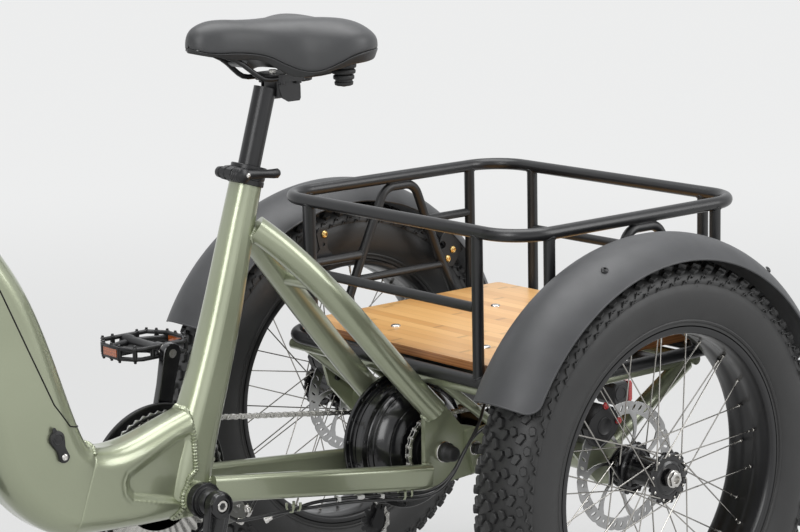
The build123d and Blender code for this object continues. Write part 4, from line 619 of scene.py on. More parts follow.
def spokes(name, x, y, side, flanges, body, node):
    """Crossed wires from both flanges, each with its head and its nipple."""
    wires = Parts()
    step = 360.0 / SPOKES
    for number, flange in enumerate(flanges):
        for index in range(SPOKES):
            lead = 1 if index % 2 else -1
            hub_deg = step * index + step / 2 * number
            skew = lead * (3.7 + (1.8 if lead * flange > 0 else 0.4))
            start = Vector((x, y + side * (flange + skew), WHEEL_Z)) + ray(radians(hub_deg), 31)
            end = Vector((x, y + side * (copysign(9.0, flange) + 0.5 * skew), WHEEL_Z)) \
                + ray(radians(hub_deg + lead * SPOKE_LEAD), 193.5)
            run = (end - start).normalized()
            into = LEFT * (-side * lead)
            head = start + into * 6.6
            wires.tube([head, start + into * 1.4, start + into * 0.3 + run * 0.6, start + run * 3, start + run * 20,
                        start + run * 26, end - run * 13], [1.15, 1.15, 1.15, 1.15, 1.1, 0.95, 0.95], 7)
            wires.lathe(((-0.2, 1.15), (0.1, 2.1), (0.9, 2.2), (1.5, 1.3), (1.6, 0.01)), head, into, 10)
            wires.lathe(((0, 1.0), (0.3, 1.55), (9.2, 1.6), (9.8, 1.9), (10.4, 2.5), (13.2, 2.6)), end - run * 13,
                        run, 10)
    wires.emit(name, SPOKE, body, (node,), angle=40)


DISC_BOLT_CIRCLE = 22.2


def rotor(name, x, y, body, node, turn):
    """A brake disc with a waved rim, slanted slots, curved arms and six bolt holes."""
    def place(radius, degrees):
        spot = ray(radians(degrees), radius)
        return spot.x, spot.z

    arms, slots = 7, 42
    pitch = 360 / arms
    outer = [place(89.6 - 1.5 * max(0.0, cos(radians(k * 14))) ** 6, k) for k in range(360)]
    holes = []
    for k in range(slots):
        turned = 360 / slots * k
        if k % 6 == 5:
            holes.append(oval(place(80.5, turned), 2.6, 2.6, 10))
        else:
            holes.append(oval(place(81.5, turned), 5.2, 1.9, 14, radians(turned + 28)))
    for k in range(arms):
        first = pitch * k
        sides = [t / 7 for t in range(1, 7)]
        holes.append([place(72.5, first + 5 + (pitch - 10) * t / 8) for t in range(9)]
                     + [place(72.5 - 43 * f, first + pitch - 5 + 17 * f * (2 - f)) for f in sides]
                     + [place(29.5, first + pitch + 12 - (pitch - 24) * t / 4) for t in range(5)]
                     + [place(72.5 - 43 * f, first + 5 + 7 * f + 17 * f * (2 - f) * 0.42) for f in
                        [1 - share for share in sides]])
    bore = [place(17.5, k * 12) for k in range(30)]
    bolts = [oval(place(DISC_BOLT_CIRCLE, turn + 60 * k), 2.4, 2.4, 10) for k in range(6)]
    flat_plate(name, [outer, bore] + holes + bolts, (x, y, WHEEL_Z), AHEAD, UP, 1.9, ROTOR, body, (node,), edge=0.25)


def hub(name, x, y, side, flanges, disc, body, node, axle_in, axle_out):
    """Shell with scalloped flanges, a disc seat with its bolts, bearing seals and the axle's end."""
    centre = Vector((x, y, WHEEL_Z))
    out = LEFT * side
    shell = Parts()
    low, high = sorted(flanges)
    neck = [(low - 2.5, 16), (low - 2.5, 33), (low - 1.6, 34.2), (low + 1.6, 34.2), (low + 2.5, 33), (low + 3.5, 26),
            (low + 9, 21.5), (low + 18, 20.2), (high - 18, 20.2), (high - 9, 21.5), (high - 3.5, 26), (high - 2.5, 33),
            (high - 1.6, 34.2), (high + 1.6, 34.2), (high + 2.5, 33), (high + 2.5, 24), (high + 3.6, 23),
            (high + 4.4, 19.5), (high + 3.4, 18.5), (high + 3.4, 10)]
    shell.lathe(neck, centre, out, 72)
    for flange in (low, high):
        shift = 10 if flange == flanges[0] else 20
        for index in range(SPOKES):
            spot = centre + out * (flange - 2.3) + ray(radians(20 * index + shift), 33.4)
            shell.lathe(((0, 0.6), (0, 3.0), (0.6, 3.3), (4.0, 3.3), (4.6, 3.0), (4.6, 0.6)), spot, out, 12)
    way = 1 if disc > high else -1
    near = high + 2.5 if way > 0 else low - 2.5
    span = [(near, 20), (near + way * 3, 18.5)]
    span += [(disc + way * a, r) for a, r in ((-5, 18.5), (-3.4, 23.5), (-1.2, 26), (-1.0, 26), (-1.0, 16.5),
                                              (1.8, 16.3), (2.0, 9))]
    shell.lathe(span, centre, out, 60)
    shell.emit(name, HUB, body, (node,), angle=38)
    axle = Parts()
    tip = [(axle_in, 0.01), (axle_in, 7.4)]
    tip += [(axle_out + a, r) for a, r in (
        (-10, 7.4), (-9.6, 11.6), (-9, 12.2), (-5.4, 12.2), (-4.8, 11.6), (-4.6, 9.6), (-0.8, 9.4), (0, 8.6), (0, 5.6),
        (-5, 5.2), (-5, 0.01))]
    axle.lathe(tip, centre, out, 36, six=(7, 8))
    for k in range(6):
        axle.bolt(centre + out * (disc + way * 0.95) + ray(radians(60 * k + 12), DISC_BOLT_CIRCLE), out * way, 3.9,
                  "button", 1.9)
    axle.emit(name + "_axle", STEEL, body, angle=38)


def valve(name, x, y, body, degrees):
    out = ray(radians(degrees))
    stem = Parts()
    stem.lathe(((0, 4.2), (3, 4.0), (5, 3.2), (22, 3.0), (23, 3.6), (31, 3.6), (32, 3.0), (32, 0.01)),
               Vector((x, y, WHEEL_Z)) + out * 193.8, -out, 18)
    stem.emit(name, SOFT, body)


def wheel(where, part, x, y, side, flanges, disc, turn, axle, valve_at):
    """A whole wheel; `part` is the pattern of its nodes' names."""
    body = part.format("wheel")
    tyre("tyre_" + where, x, y, body, part.format("tyre"))
    rim("rim_" + where, x, y, body, part.format("rim"))
    spokes("spokes_" + where, x, y, side, sorted(flanges), body, part.format("spokes"))
    rotor("rotor_" + where, x, y + side * disc, body, part.format("rotor"), turn)
    hub("hub_" + where, x, y, side, flanges, disc, body, part.format("hub"), *axle)
    valve("valve_" + where, x, y, body, valve_at)


for side, word in SIDES:
    wheel("rear_" + word, "rear_{}_" + word, 0, side * TRACK / 2, side, (-35.0, 30.0), -51.0, 12,
          (202 - TRACK / 2, 47.0), 318)
wheel("front", "front_{}", WHEELBASE, 0, 1, (33.0, -33.0), 49.0, 0, (-63.0, 63.0), 200)


# ------------------------------------------------------------------ chains
PITCH = 12.7


def pitch_radius(teeth):
    return PITCH / 2 / sin(pi / teeth)


def cog(made, centre, teeth, thick, bore):
    """A toothed wheel about Y with rounded valleys and bevelled tooth tips."""
    root = pitch_radius(teeth) - 4.08
    steps = teeth * 10
    rows = [[], [], [], []]
    for k in range(steps):
        f = 0.5 - 0.5 * cos(tau * (k % 10) / 10)
        tip = root + 6.97 * min(1.0, f * 1.25) ** 0.8
        half = thick * (0.5 - 0.3 * f)
        for row, reach, y in ((0, bore, -thick / 2), (1, tip, -half), (2, tip, half), (3, bore, thick / 2)):
            rows[row].append(Vector(centre) + ray(tau * k / steps, reach) + LEFT * y)
    made.grid(rows, close_rows=True, close_columns=True)


def belt(circles):
    """Points a pitch apart along a closed run around (x, z, radius, turn) circles."""
    headings = []
    for index, (x, z, radius, turn) in enumerate(circles):
        nx, nz, next_radius, next_turn = circles[(index + 1) % len(circles)]
        change = turn * radius - next_turn * next_radius
        headings.append(atan2(nz - z, nx - x) + asin(change / hypot(nx - x, nz - z)))
    fine = []
    for index, (x, z, radius, turn) in enumerate(circles):
        arrive, leave = headings[index - 1], headings[index]
        sweep = (leave - arrive) * turn % tau * turn
        steps = max(2, int(abs(sweep) * radius / 0.5))
        for k in range(steps + 1):
            h = arrive + sweep * k / steps
            fine.append((x + turn * radius * sin(h), z - turn * radius * cos(h)))
    fine.append(fine[0])
    lengths = [0.0]
    for a, b in zip(fine, fine[1:]):
        lengths.append(lengths[-1] + dist(a, b))
    count = 2 * round(lengths[-1] / PITCH / 2)
    points = []
    spot = 0
    for k in range(count):
        want = lengths[-1] * k / count
        while lengths[spot + 1] < want:
            spot += 1
        f = (want - lengths[spot]) / max(1e-9, lengths[spot + 1] - lengths[spot])
        a, b = fine[spot], fine[spot + 1]
        points.append(Vector((a[0] + (b[0] - a[0]) * f, 0, a[1] + (b[1] - a[1]) * f)))
    return points


def chain(name, circles, y, replaces):
    """Roller chain: waisted side plates, wide and narrow in turn, with rollers and pins."""
    points = belt(circles)
    links, rollers = Parts(), Parts()
    eye, waist = 4.1, 2.7
    for index, start in enumerate(points):
        run = points[(index + 1) % len(points)] - start
        outline = []
        for place, first, dip in ((run.length, -60, waist), (0, 120, -waist)):
            outline += arc(eye, first, 120, 6, place) + [(run.length / 2, dip)]
        offset = 3.35 if index % 2 else 2.2
        for hand in (-1, 1):
            links.prism(outline, start + LEFT * (y + offset * hand + 0.5), run, -LEFT.cross(run), 1.0, 0.25)
        rollers.lathe(((-2.0, 3.9), (2.0, 3.9)), start + LEFT * y, LEFT, 12)
        rollers.lathe(((-4.6, 1.0), (-4.3, 1.7), (4.3, 1.7), (4.6, 1.0)), start + LEFT * y, LEFT, 8)
    links.emit(name, CHAIN, "frame", replaces, angle=30)
    rollers.emit(name + "_rollers", STEEL, angle=30)


DRIVE_CHAIN_Y = -54.0
PULLEY_TEETH = 11
AXLE_TEETH = 23
GUIDE = Vector((142, DRIVE_CHAIN_Y, 226))
TENSION = Vector((160, DRIVE_CHAIN_Y, 176))
chain("chain_drive", ((BB.x, BB.z, pitch_radius(44), -1), (TENSION.x, TENSION.z, pitch_radius(PULLEY_TEETH), -1),
                      (GUIDE.x, GUIDE.z, pitch_radius(PULLEY_TEETH), 1), (MOTOR.x, MOTOR.z, pitch_radius(18), -1)),
      DRIVE_CHAIN_Y, ("chains",))
chain("chain_axle", [(hub.x, hub.z, pitch_radius(AXLE_TEETH), -1) for hub in (MOTOR, REAR_HUB)], 44.0, ())


# ------------------------------------------------------------------ hub motor
motor = Parts()
motor.lathe(((-40, 12), (-40, 60), (-38.5, 62), (-38.5, 84), (-40, 86), (-40, 94), (-39, 96), (-35.5, 96), (-34.6, 95),
             (-34.2, 89.5), (-33.4, 88.3), (-24, 88), (-23.4, 86.8), (-21.8, 86.8), (-21.2, 88), (-9, 88), (-7.6, 88.6),
             (-7, 93), (-6, 94), (-1.6, 94), (-0.6, 93), (0, 86), (1.2, 85), (5, 84.4), (8.6, 82.4), (9, 80.4),
             (10.2, 80.0), (15, 77.0), (22, 71.4), (25.4, 67), (26, 65.6), (27, 65.2), (30, 60), (31, 55), (32, 53),
             (33, 44), (34.2, 40), (36.6, 37.5), (37, 36), (37, 12)), MOTOR, LEFT, 128)
motor.emit("motor_shell", HUB, "motor", ("hub_motor",), angle=28)
screws = Parts()
for count, turn, radius, y, way, size, height in (
        (18, 7, 91.6, -34.4, 1, 2.4, 1.5), (12, 11, 89.4, -0.7, 1, 2.6, 1.7), (12, 11, 74, -38.6, -1, 3.2, 1.4)):
    for k in range(count):
        seat = MOTOR + ray(radians(360 / count * k + turn), radius) + LEFT * y
        screws.bolt(seat, LEFT * way, size, "button", height)
screws.emit("motor_screws", ANODISED, "motor", angle=35)


# ------------------------------------------------------------------ cranks, chainring and bottom bracket
def middle(node):
    """The middle of a CAD node's box, in this script's places."""
    low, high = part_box(node)
    return (low + high) / 2 / MM - ORIGIN


def crank_outline(length, inset):
    """A crank arm about its spindle, from its pedal eye round by its boss."""
    waist = ((length * 0.75, 11.6 - inset), (length * 0.45, 12.6 - inset), (length * 0.2, 15.5 - inset))
    return arc(13.8 - inset, -90, 180, 12, length) + list(waist) + arc(18.6 - inset, 72, 216, 16) \
        + [(a, -b) for a, b in reversed(waist)]


arms, bright = Parts(), Parts()
for side, word in SIDES:
    out = LEFT * side
    foot = BB + out * 70
    reach = middle("pedal_" + word) - BB
    reach.y = 0
    length, along = reach.length, reach.normalized()
    across = out.cross(along)
    rows = []
    for inset, level in ((3.0, 0.2), (0.8, 0.2), (0, 1.2), (0, 9.8), (0.7, 12.0), (2.2, 13.0), (4.4, 12.8), (6.6, 10.4),
                         (8.0, 10.0)):
        rows.append([foot + along * a + across * b + out * level for a, b in crank_outline(length, inset)])
    arms.grid(rows, close_columns=True, caps=True)
    arms.lathe(((9.8, 17.4), (13.6, 17.2), (15.4, 16.4), (16.0, 15.0), (16.0, 9.4), (13.2, 8.8), (13.2, 0.01)), foot,
               out, 48)
    arms.lathe(((9.5, 12.6), (13.0, 12.4), (13.2, 11.4), (13.2, 8.2), (12.0, 8.0), (12.0, 0.01)),
               foot + along * length, out, 36)
    bright.lathe(((12.8, 8.0), (14.2, 8.2), (15.2, 7.4), (15.2, 4.4), (12.6, 3.9), (12.6, 0.01)), foot, out, 36,
                 six=(3, 4))
arms.lathe(((-71, 0.01), (-71, 10.9), (71, 10.9), (71, 0.01)), BB, LEFT, 40)
arms.emit("crank_arms", HUB, "cranks", ("crankset",), angle=32, slot="anodised_black")
bright.emit("crank_bolts", STEEL, "cranks", angle=38)

cups = Parts()
for side in (1, -1):
    cups.lathe(((42.9, 12.5), (42.9, 22.6), (43.6, 23.6), (49.4, 23.6), (50.2, 22.8), (50.6, 20.4), (53.0, 19.8),
                (53.4, 18.6), (56.6, 18.6), (57.0, 17.4), (62, 16.6), (64.6, 15.2), (64.8, 12.2)), BB, LEFT * side, 64)
    for k in range(16):
        a = tau * k / 16
        cups.box(BB + ray(a, 22.9) + LEFT * (side * 46.5), (3.0, 5.2, 2.2), (ray(a), LEFT, ray(a + pi / 2)), 0.4)
cups.emit("bottom_bracket_cups", ANODISED, angle=35)

GUARD_ARMS = [ray(radians(20 + 72 * index)) for index in range(5)]
GUARD_BOLT_CIRCLE = 69
ring = Parts()
cog(ring, BB + LEFT * DRIVE_CHAIN_Y, 44, 2.2, 62)
for arm in GUARD_ARMS:
    ring.lathe(((-53.1, 0.01), (-53.1, 5.4), (-53.7, 6.2), (-55.4, 6.2)), BB + arm * GUARD_BOLT_CIRCLE, LEFT, 24)
ring.emit("chainring_teeth", CHAIN, "cranks", angle=35)
guard = Parts()
guard.lathe(((-64.6, 98), (-64.6, 108.6), (-63.8, 109.9), (-60.6, 109.9), (-59.4, 108.8), (-59.0, 106.8),
             (-60.2, 105.6), (-60.8, 98), (-60.8, 66), (-64.4, 66), (-64.6, 98)), BB, LEFT, 160)
for arm in GUARD_ARMS:
    guard.prism([(16, -14), (40, -11), (64, -9), (73, -8), (76, -4), (76, 4), (73, 8), (64, 9), (40, 11), (16, 14)],
                BB - LEFT * 64.6, arm, arm.cross(LEFT), -4.0, 1.0)
    guard.lathe(((-64, 6.6), (-56, 6.6)), BB + arm * GUARD_BOLT_CIRCLE, LEFT, 20)
guard.lathe(((-70, 11), (-70, 21), (-66, 26), (-62, 28), (-60.6, 28), (-60.6, 11)), BB, LEFT, 48)
guard.emit("chain_guard", ANODISED, "cranks", ("chainring",), angle=32)
shield = Parts()
teeth = 52
shield.grid([[BB + LEFT * level + ray(tau * k / (teeth * 8), 100.6 + 1.5 * cos(tau * k / 8) + change)
              for k in range(teeth * 8)]
             for change, level in ((-4.4, -55.4), (-0.8, -55.4), (0, -54.8), (0, -53.6), (-0.8, -53.0), (-4.4, -53.0))],
            close_columns=True, close_rows=True)
shield.emit("chain_guard_teeth", ROTOR, "cranks", angle=40, slot="spoke_steel")
inner = Parts()
inner.lathe(((-54.6, 95.4), (-54.6, 98.8), (-52.9, 98.6), (-52.3, 97.8), (-52.3, 95.4)), BB, LEFT, 160, closed=True)
inner.emit("chain_guard_inner", PLASTIC, "cranks", angle=32, slot="anodised_black")


# ------------------------------------------------------------------ pedals
for side, word in SIDES:
    eye = middle("pedal_" + word)

    def spot(a, b, c):
        """Ahead of the pedal's axle, outward from its inner edge, and above the axle."""
        return (eye.x + a, side * (91 + b), eye.z + c)

    body = word + "_pedal"
    cage = Parts()
    frame_line = [(-32, 3), (32, 3), (41, 8), (52.4, 28), (52.4, 66), (36, 92.5), (-36, 92.5), (-52.4, 66), (-52.4, 28),
                  (-41, 8)]
    for c in (-6.6, 6.6):
        cage.tube([spot(a, b, c) for a, b in frame_line], 3.1, 10, closed=True)
    for a, b in ((-41, 8), (41, 8), (-52.4, 28), (52.4, 28), (-52.4, 66), (52.4, 66), (-44, 80), (44, 80), (-16, 3),
                 (16, 3), (-20, 92.5), (20, 92.5)):
        cage.tube([spot(a, b, -7), spot(a, b, 7)], 3.4, 8)
    cage.lathe(((0, 8), (1.5, 10.4), (16, 10.4), (22, 8.4), (70, 7.8), (78, 9.8), (92, 9.8), (93.5, 8), (93.5, 4.5),
                (92, 4.2), (92, 0.01)), spot(0, 0, 0), LEFT * side, 28)
    for b0, b1 in ((16, 30), (80, 66)):
        for hand in (-1, 1):
            cage.tube([spot(0, b0, 0), spot(hand * 26, b1 - (b1 - b0) * 0.4, 1.5), spot(hand * 53, b1, 0)],
                      [6.2, 4.0, 4.6], 8, flat=0.7)
    cage.emit("pedal_cage_" + word, ANODISED, body, ("pedal_" + word,), angle=50)
    pins = Parts()
    for c in (-1, 1):
        for a, b in ((-52.4, 28), (-52.4, 47), (-52.4, 66), (52.4, 28), (52.4, 47), (52.4, 66), (-44, 80), (44, 80),
                     (-20, 92.5), (20, 92.5), (-36, 92.5), (36, 92.5), (-41, 8), (41, 8)):
            foot = Vector(spot(a, b, c * 8.6))
            pins.lathe(((0, 3.4), (0.8, 3.0), (1.4, 2.0), (3.4, 1.9), (3.9, 1.2), (3.9, 0.01)), foot, (0, 0, c), 10)
    pins.emit("pedal_pins_" + word, ANODISED, body)
    amber = Parts()
    for hand in (-1, 1):
        amber.box(spot(hand * 53.2, 47, 0), (4.0, 31, 11.6), chamfer=0.6)
    amber.emit("pedal_reflectors_" + word, AMBER, body)
    spindle = Parts()
    spindle.lathe(((-21, 0.01), (-21, 5.9), (-8, 5.9), (-7.5, 8.6), (-1.5, 8.6), (-1, 6.5), (0, 6.5)),
                  spot(0, 0, 0), LEFT * side, 24, six=(3, 4))
    spindle.emit("pedal_spindle_" + word, STEEL, body, angle=38)


# ------------------------------------------------------------------ saddle
def smooth_stations(stations, count):
    """Resamples stations with a smooth curve through them."""
    places = []
    n = len(stations)
    for k in range(count):
        f = k / (count - 1) * (n - 1)
        i = min(int(f), n - 2)
        t = f - i
        p0, p1, p2, p3 = (stations[max(i - 1, 0)], stations[i], stations[i + 1], stations[min(i + 2, n - 1)])
        places.append([0.5 * (2 * b + (c - a) * t + (2 * a - 5 * b + 4 * c - d) * t * t
                              + (3 * b - a - 3 * c + d) * t ** 3) for a, b, c, d in zip(p0, p1, p2, p3)])
    return places


def between(table, x):
    """The value at x in a table of (place, value) with the highest place first."""
    for (x0, v0), (x1, v1) in zip(table, table[1:]):
        if x >= x1:
            t = max(0.0, min(1.0, (x0 - x) / (x0 - x1)))
            return v0 + (v1 - v0) * t
    return table[-1][1]


# Place along X, half width, top at the middle, rise of the wings, seam height, how square the edge is
SADDLE = ((494, 3, 898, 0, 889, 0.9), (490.5, 13, 906, 0, 887, 0.8), (481, 22, 914, 0, 883.5, 0.7),
          (462, 28.5, 919.5, 0, 881.5, 0.62), (440, 31.5, 920, 0, 880.5, 0.6), (415, 34.5, 918, 0, 877.5, 0.6),
          (392, 39, 917, 0, 871.5, 0.6), (372, 48, 916.5, 1, 860.5, 0.6), (355, 61, 916, 2, 852.5, 0.6),
          (340, 76, 915.5, 3, 852, 0.58), (322, 90, 915, 4, 860, 0.56), (302, 98, 913.5, 5, 869.5, 0.55),
          (280, 99, 910.5, 5, 874, 0.55), (260, 91, 906, 4, 875, 0.55), (242, 75, 900, 2, 874, 0.58),
          (228, 55, 893, 0, 872.5, 0.62), (218, 34, 886, 0, 871, 0.7), (212, 10, 879, 0, 870, 0.85))
SKIRT_LOW = ((494, 882), (489, 880), (436, 868), (413, 868), (395, 863), (376, 850), (362, 842), (352, 841.5),
             (341, 844.5), (330, 848), (302, 856), (237, 859), (212, 862))


def saddle_row(station, ring):
    x, half, top, rise, seam, square = station
    row = []
    for k in range(ring + 1):
        t = pi * (k / ring - 0.5)
        s = sin(t)
        y = half * copysign(abs(s) ** 0.92, s)
        z = seam + (top - seam) * max(0.0, cos(t)) ** square
        wing = exp(-((abs(y) - 0.56 * half) / (0.30 * half + 1)) ** 2)
        row.append(Vector((x, y, z + rise * wing * max(0.0, cos(t)) ** 0.3)))
    return row


pad = Parts()
stations = smooth_stations(SADDLE, 72)
rows = []
for station in stations:
    upper = saddle_row(station, 34)
    x, half, top, rise, seam, square = station
    tuck = [Vector((x, y, z)) for y, z in ((half - 1.3, seam - 1.6), (half - 3.6, seam - 0.6), (half * 0.5, seam + 2),
                                          (-half * 0.5, seam + 2), (-half + 3.6, seam - 0.6),
                                          (-half + 1.3, seam - 1.6))]
    rows.append(upper + tuck)
pad.grid(rows, close_columns=True, caps=True)
saddle_pad = pad.emit("saddle_pad", VINYL, "seat", ("saddle",), angle=70, smooth=1)

# The moulded base's skirt below the seam, and its floor
skirt = Parts()
rows = []
for x, half, top, rise, seam, square in stations:
    low = between(SKIRT_LOW, x)
    drop = max(5.0, seam - low)
    lean = min(half * 0.35, 3.0 + 0.22 * drop)
    foot = max(half - lean, half * 0.3)
    lip = max(foot - 3.0, half * 0.2)
    side_line = [(half - 0.4, seam - 1.9), (half - 0.1, seam - 3.0), (half - 0.25 * lean, seam - 0.4 * drop),
                 (foot + 0.12 * lean, seam - 0.88 * drop), (foot - 0.6, seam - drop), (lip, seam - drop + 1.2),
                 (lip * 0.82, seam - drop * 0.45 + 1.0), (lip * 0.4, seam - 2.5)]
    rows.append([Vector((x, a, b)) for a, b in side_line] + [Vector((x, -a, b)) for a, b in reversed(side_line)]
                + [Vector((x, -half + 4, seam - 1.0)), Vector((x, half - 4, seam - 1.0))])
skirt.grid(rows, close_columns=True, caps=True)
skirt.emit("saddle_skirt", BASE, "seat", angle=60, smooth=1)

# Two sprung rails, the grey block that holds them at the nose, and the bellows behind
rails = Parts()
for side in (1, -1):
    line = [(462, 11, 879), (446, 13, 874), (432, 15.5, 868), (421, 17.5, 861), (411, 19.5, 853), (401, 21.2, 845.5),
            (393, 22, 841), (384, 22, 839.2), (370, 22, 839), (348, 22, 839), (326, 22, 839), (311, 22.6, 839.2),
            (300, 26, 840), (290, 32, 842), (283, 38, 846), (280, 42, 852)]
    rails.tube([(x, side * y, z) for x, y, z in line], 3.5, 14)
rails.emit("saddle_rail_bars", ANODISED, "seat", ("saddle_rails",))
block = Parts()
block.box((417, 0, 864), (10, 27, 13), ((0.8, 0, 0.6), LEFT, (-0.6, 0, 0.8)), 1.5)
block.bolt((410.5, 0, 859.5), (-0.8, 0, -0.6), 3.4, "hexagon", 3.0)
block.emit("saddle_nose_block", GREY, "seat", bevel=0.4)
bellows = Parts()
for side in (1, -1):
    profile = [(0, 9.5), (1.2, 12.2), (5, 12.8), (6.2, 11.6), (7.4, 11.4)]
    for k, radius in enumerate((14.2, 16.0, 17.2, 18.0)):
        foot = 8.0 + 7.6 * k
        profile += [(foot, radius - 2.6), (foot + 0.9, radius - 0.5), (foot + 2.4, radius), (foot + 4.6, radius),
                    (foot + 6.0, radius - 0.5), (foot + 6.9, radius - 2.6)]
    profile += [(38.8, 14), (41.5, 13)]
    bellows.lathe(profile, (276, side * 44, 823), UP, 48)
bellows.emit("saddle_bellows", SOFT, "seat", angle=28)
caps = Parts()
for side in (1, -1):
    caps.bolt((276, side * 44, 823.2), (0, 0, -1), 4.6, "button", 1.6)
caps.emit("saddle_bellows_screws", ANODISED, "seat")


# ------------------------------------------------------------------ seat post head and clamp
POST_LEAN = radians(16.8)
LEAN = Vector((-sin(POST_LEAN), 0, cos(POST_LEAN)))


def on_post(z):
    """A point on the seat post's centre line at a height."""
    return Vector((409 - (z - 709) * tan(POST_LEAN), 0, z))


head_x = on_post(826).x - 25.0
head = Parts()
for side in (1, -1):
    for dx in (-13, 13):
        head.lathe(((-3.8, 0.01), (-3.8, 4.6), (8.8, 4.6), (10.2, 4.0), (10.2, 0.01)),
                   (head_x + dx, side * 22, 834), UP, 20)
    outline = ((-17, 806.5), (2, 806.5), (12, 812), (17, 826), (17, 833), (-17, 833), (-19, 826), (-19, 810))
    head.prism([(a, b - 820) for a, b in outline], (head_x, side * 18.2, 820), AHEAD, UP, 1.4 * -side)
head.emit("post_head_ribs", ANODISED, "seat", bevel=0.4)
head_bolts = Parts()
for dx in (-12, 12):
    head_bolts.bolt((head_x + dx, 0, 844.2), UP, 5.2, "socket", 4.4)
head_bolts.bolt((head_x - 10, 0, 813.8), (0, 0, -1), 5.0, "hexagon", 4.0)
head_bolts.emit("post_head_bolts", STEEL, "seat", angle=38)
collar = Parts()
foot = on_post(709) - LEAN * 8.0
collar.lathe(((0, 20.9), (0, 23.2), (0.8, 24), (6.5, 24), (7.3, 23.3), (8.7, 23.3), (9.5, 24), (16.8, 24), (17.6, 23.3),
              (19.0, 23.3), (19.8, 24), (25.2, 24), (26, 23.2), (26, 15.6), (8.2, 15.6), (8.0, 20.9)), foot, LEAN, 72,
             closed=True)
CLAMP = Vector((436, 0, 719))
for side in (1, -1):
    outline = [(-15, -9), (0, -9.5), (6.5, -7), (9, 0), (6.5, 7), (0, 9.5), (-17, 9)]
    collar.prism(outline, CLAMP + LEFT * (side * 2.2), AHEAD, UP, -9.0 * side, 1.0)
collar.emit("seat_clamp_collar", ANODISED, "frame", ("seat_clamp",), angle=35, slot="basket_black")
lever = Parts()
lever.lathe(((-24, 0.01), (-24, 5.6), (-23, 7.2), (-17, 7.8), (-16, 6.6), (-13, 6.6), (-12, 8), (11.5, 8), (12, 6.2),
             (14, 6.2), (14.6, 9.4), (16.6, 10), (17.4, 9.2), (18.4, 9.2), (19.2, 10), (21.2, 10), (22, 9.2), (23, 9.2),
             (23.8, 10), (25.8, 10), (26.6, 9.2), (27.6, 9.2), (28.4, 10), (31.4, 9.6), (33, 7.6), (33, 0.01)), CLAMP,
            LEFT, 48)
grip = [(440, 27, 719.5), (430, 27.6, 719.6), (418, 28, 719), (406, 27.6, 717.8), (394, 26.6, 716.4), (384, 26, 715.4),
        (377, 26, 715.2), (373.5, 26, 715.4)]
lever.tube(grip, [7.4, 7.6, 6.6, 5.8, 5.8, 6.4, 6.6, 3.6], 14, flat=0.62, up=LEFT)
lever.emit("seat_clamp_lever", ANODISED, angle=40, slot="basket_black")
screw = Parts()
screw.bolt(CLAMP + Vector((-6, 33, 0)), LEFT, 3.2, "button", 1.2)
screw.emit("seat_clamp_screw", STEEL)


# ------------------------------------------------------------------ weld beads
def loops_where_they_meet(first, second, near=0.12):
    """Closed or open lines, in millimetres, along the rim of the area where two CAD nodes touch."""
    other = BVHTree.FromPolygons([v.co.copy() for v in nodes[second].data.vertices],
                                 [tuple(face.vertices) for face in nodes[second].data.polygons])
    work = bmesh.new()
    work.from_mesh(nodes[first].data)
    bmesh.ops.remove_doubles(work, verts=work.verts, dist=2e-6)

    def touching(face):
        for place in [face.calc_center_median()] + [v.co for v in face.verts]:
            hit = other.find_nearest(place, near * MM)
            if hit[0] is None:
                return False
        hit = other.find_nearest(face.calc_center_median())
        return abs(face.normal.dot(hit[1])) > 0.9

    inside = {face: touching(face) for face in work.faces}
    links = {}
    for edge in work.edges:
        if len(edge.link_faces) == 2 and inside[edge.link_faces[0]] != inside[edge.link_faces[1]]:
            a, b = edge.verts
            links.setdefault(a.index, []).append(b.index)
            links.setdefault(b.index, []).append(a.index)
    places = {v.index: Vector(v.co) / MM for v in work.verts}
    work.free()
    lines = []
    while links:
        start = next((k for k in sorted(links) if len(links[k]) == 1), min(links))
        line = [start]
        here = start
        while links.get(here):
            there = links[here].pop()
            links[there].remove(here)
            line.append(there)
            here = there
        for key in [k for k in links if not links[k]]:
            del links[key]
        if len(line) > 3:
            lines.append([places[k] for k in line])
    return lines


def even(line, step):
    """Points a step apart along a line."""
    out = [line[0]]
    left = step
    for a, b in zip(line, line[1:]):
        run = (b - a).length
        while run >= left > 0:
            a = a + (b - a) * (left / run)
            run = (b - a).length
            out.append(a)
            left = step
            if run < 1e-6:
                break
        left -= run
    return out


def length_of(line):
    return sum((b - a).length for a, b in zip(line, line[1:]))


def weld(name, pairs, radius, pitch, material=GREEN, least=20.0, above=0.0):
    """Stacked-ripple beads along the seams between pairs of CAD nodes, where they lie above a height."""
    bead = Parts()
    rng = random.Random(11)
    for first, second in pairs:
        for line in loops_where_they_meet(first, second):
            if length_of(line) < least:
                continue
            closed = (line[0] - line[-1]).length < 0.01 and not above
            points = even(line, pitch / 3)
            if above:
                first = next(k for k in range(len(points)) if points[k].z < above)
                points = [p for p in points[first:] + points[:first] if p.z > above]
            for _ in range(2):
                points = [points[0]] + [(a + b * 2 + c) / 4 for a, b, c in zip(points, points[1:], points[2:])] \
                    + [points[-1]]
            radii = [radius * (1.12, 1.0, 0.78)[k % 3] * rng.uniform(0.94, 1.06) for k in range(len(points))]
            if closed:
                points, radii = points[:-1], radii[:-1]
            bead.tube([p - ORIGIN for p in points], radii, 8, closed=closed)
    bead.emit(name, material, angle=50)


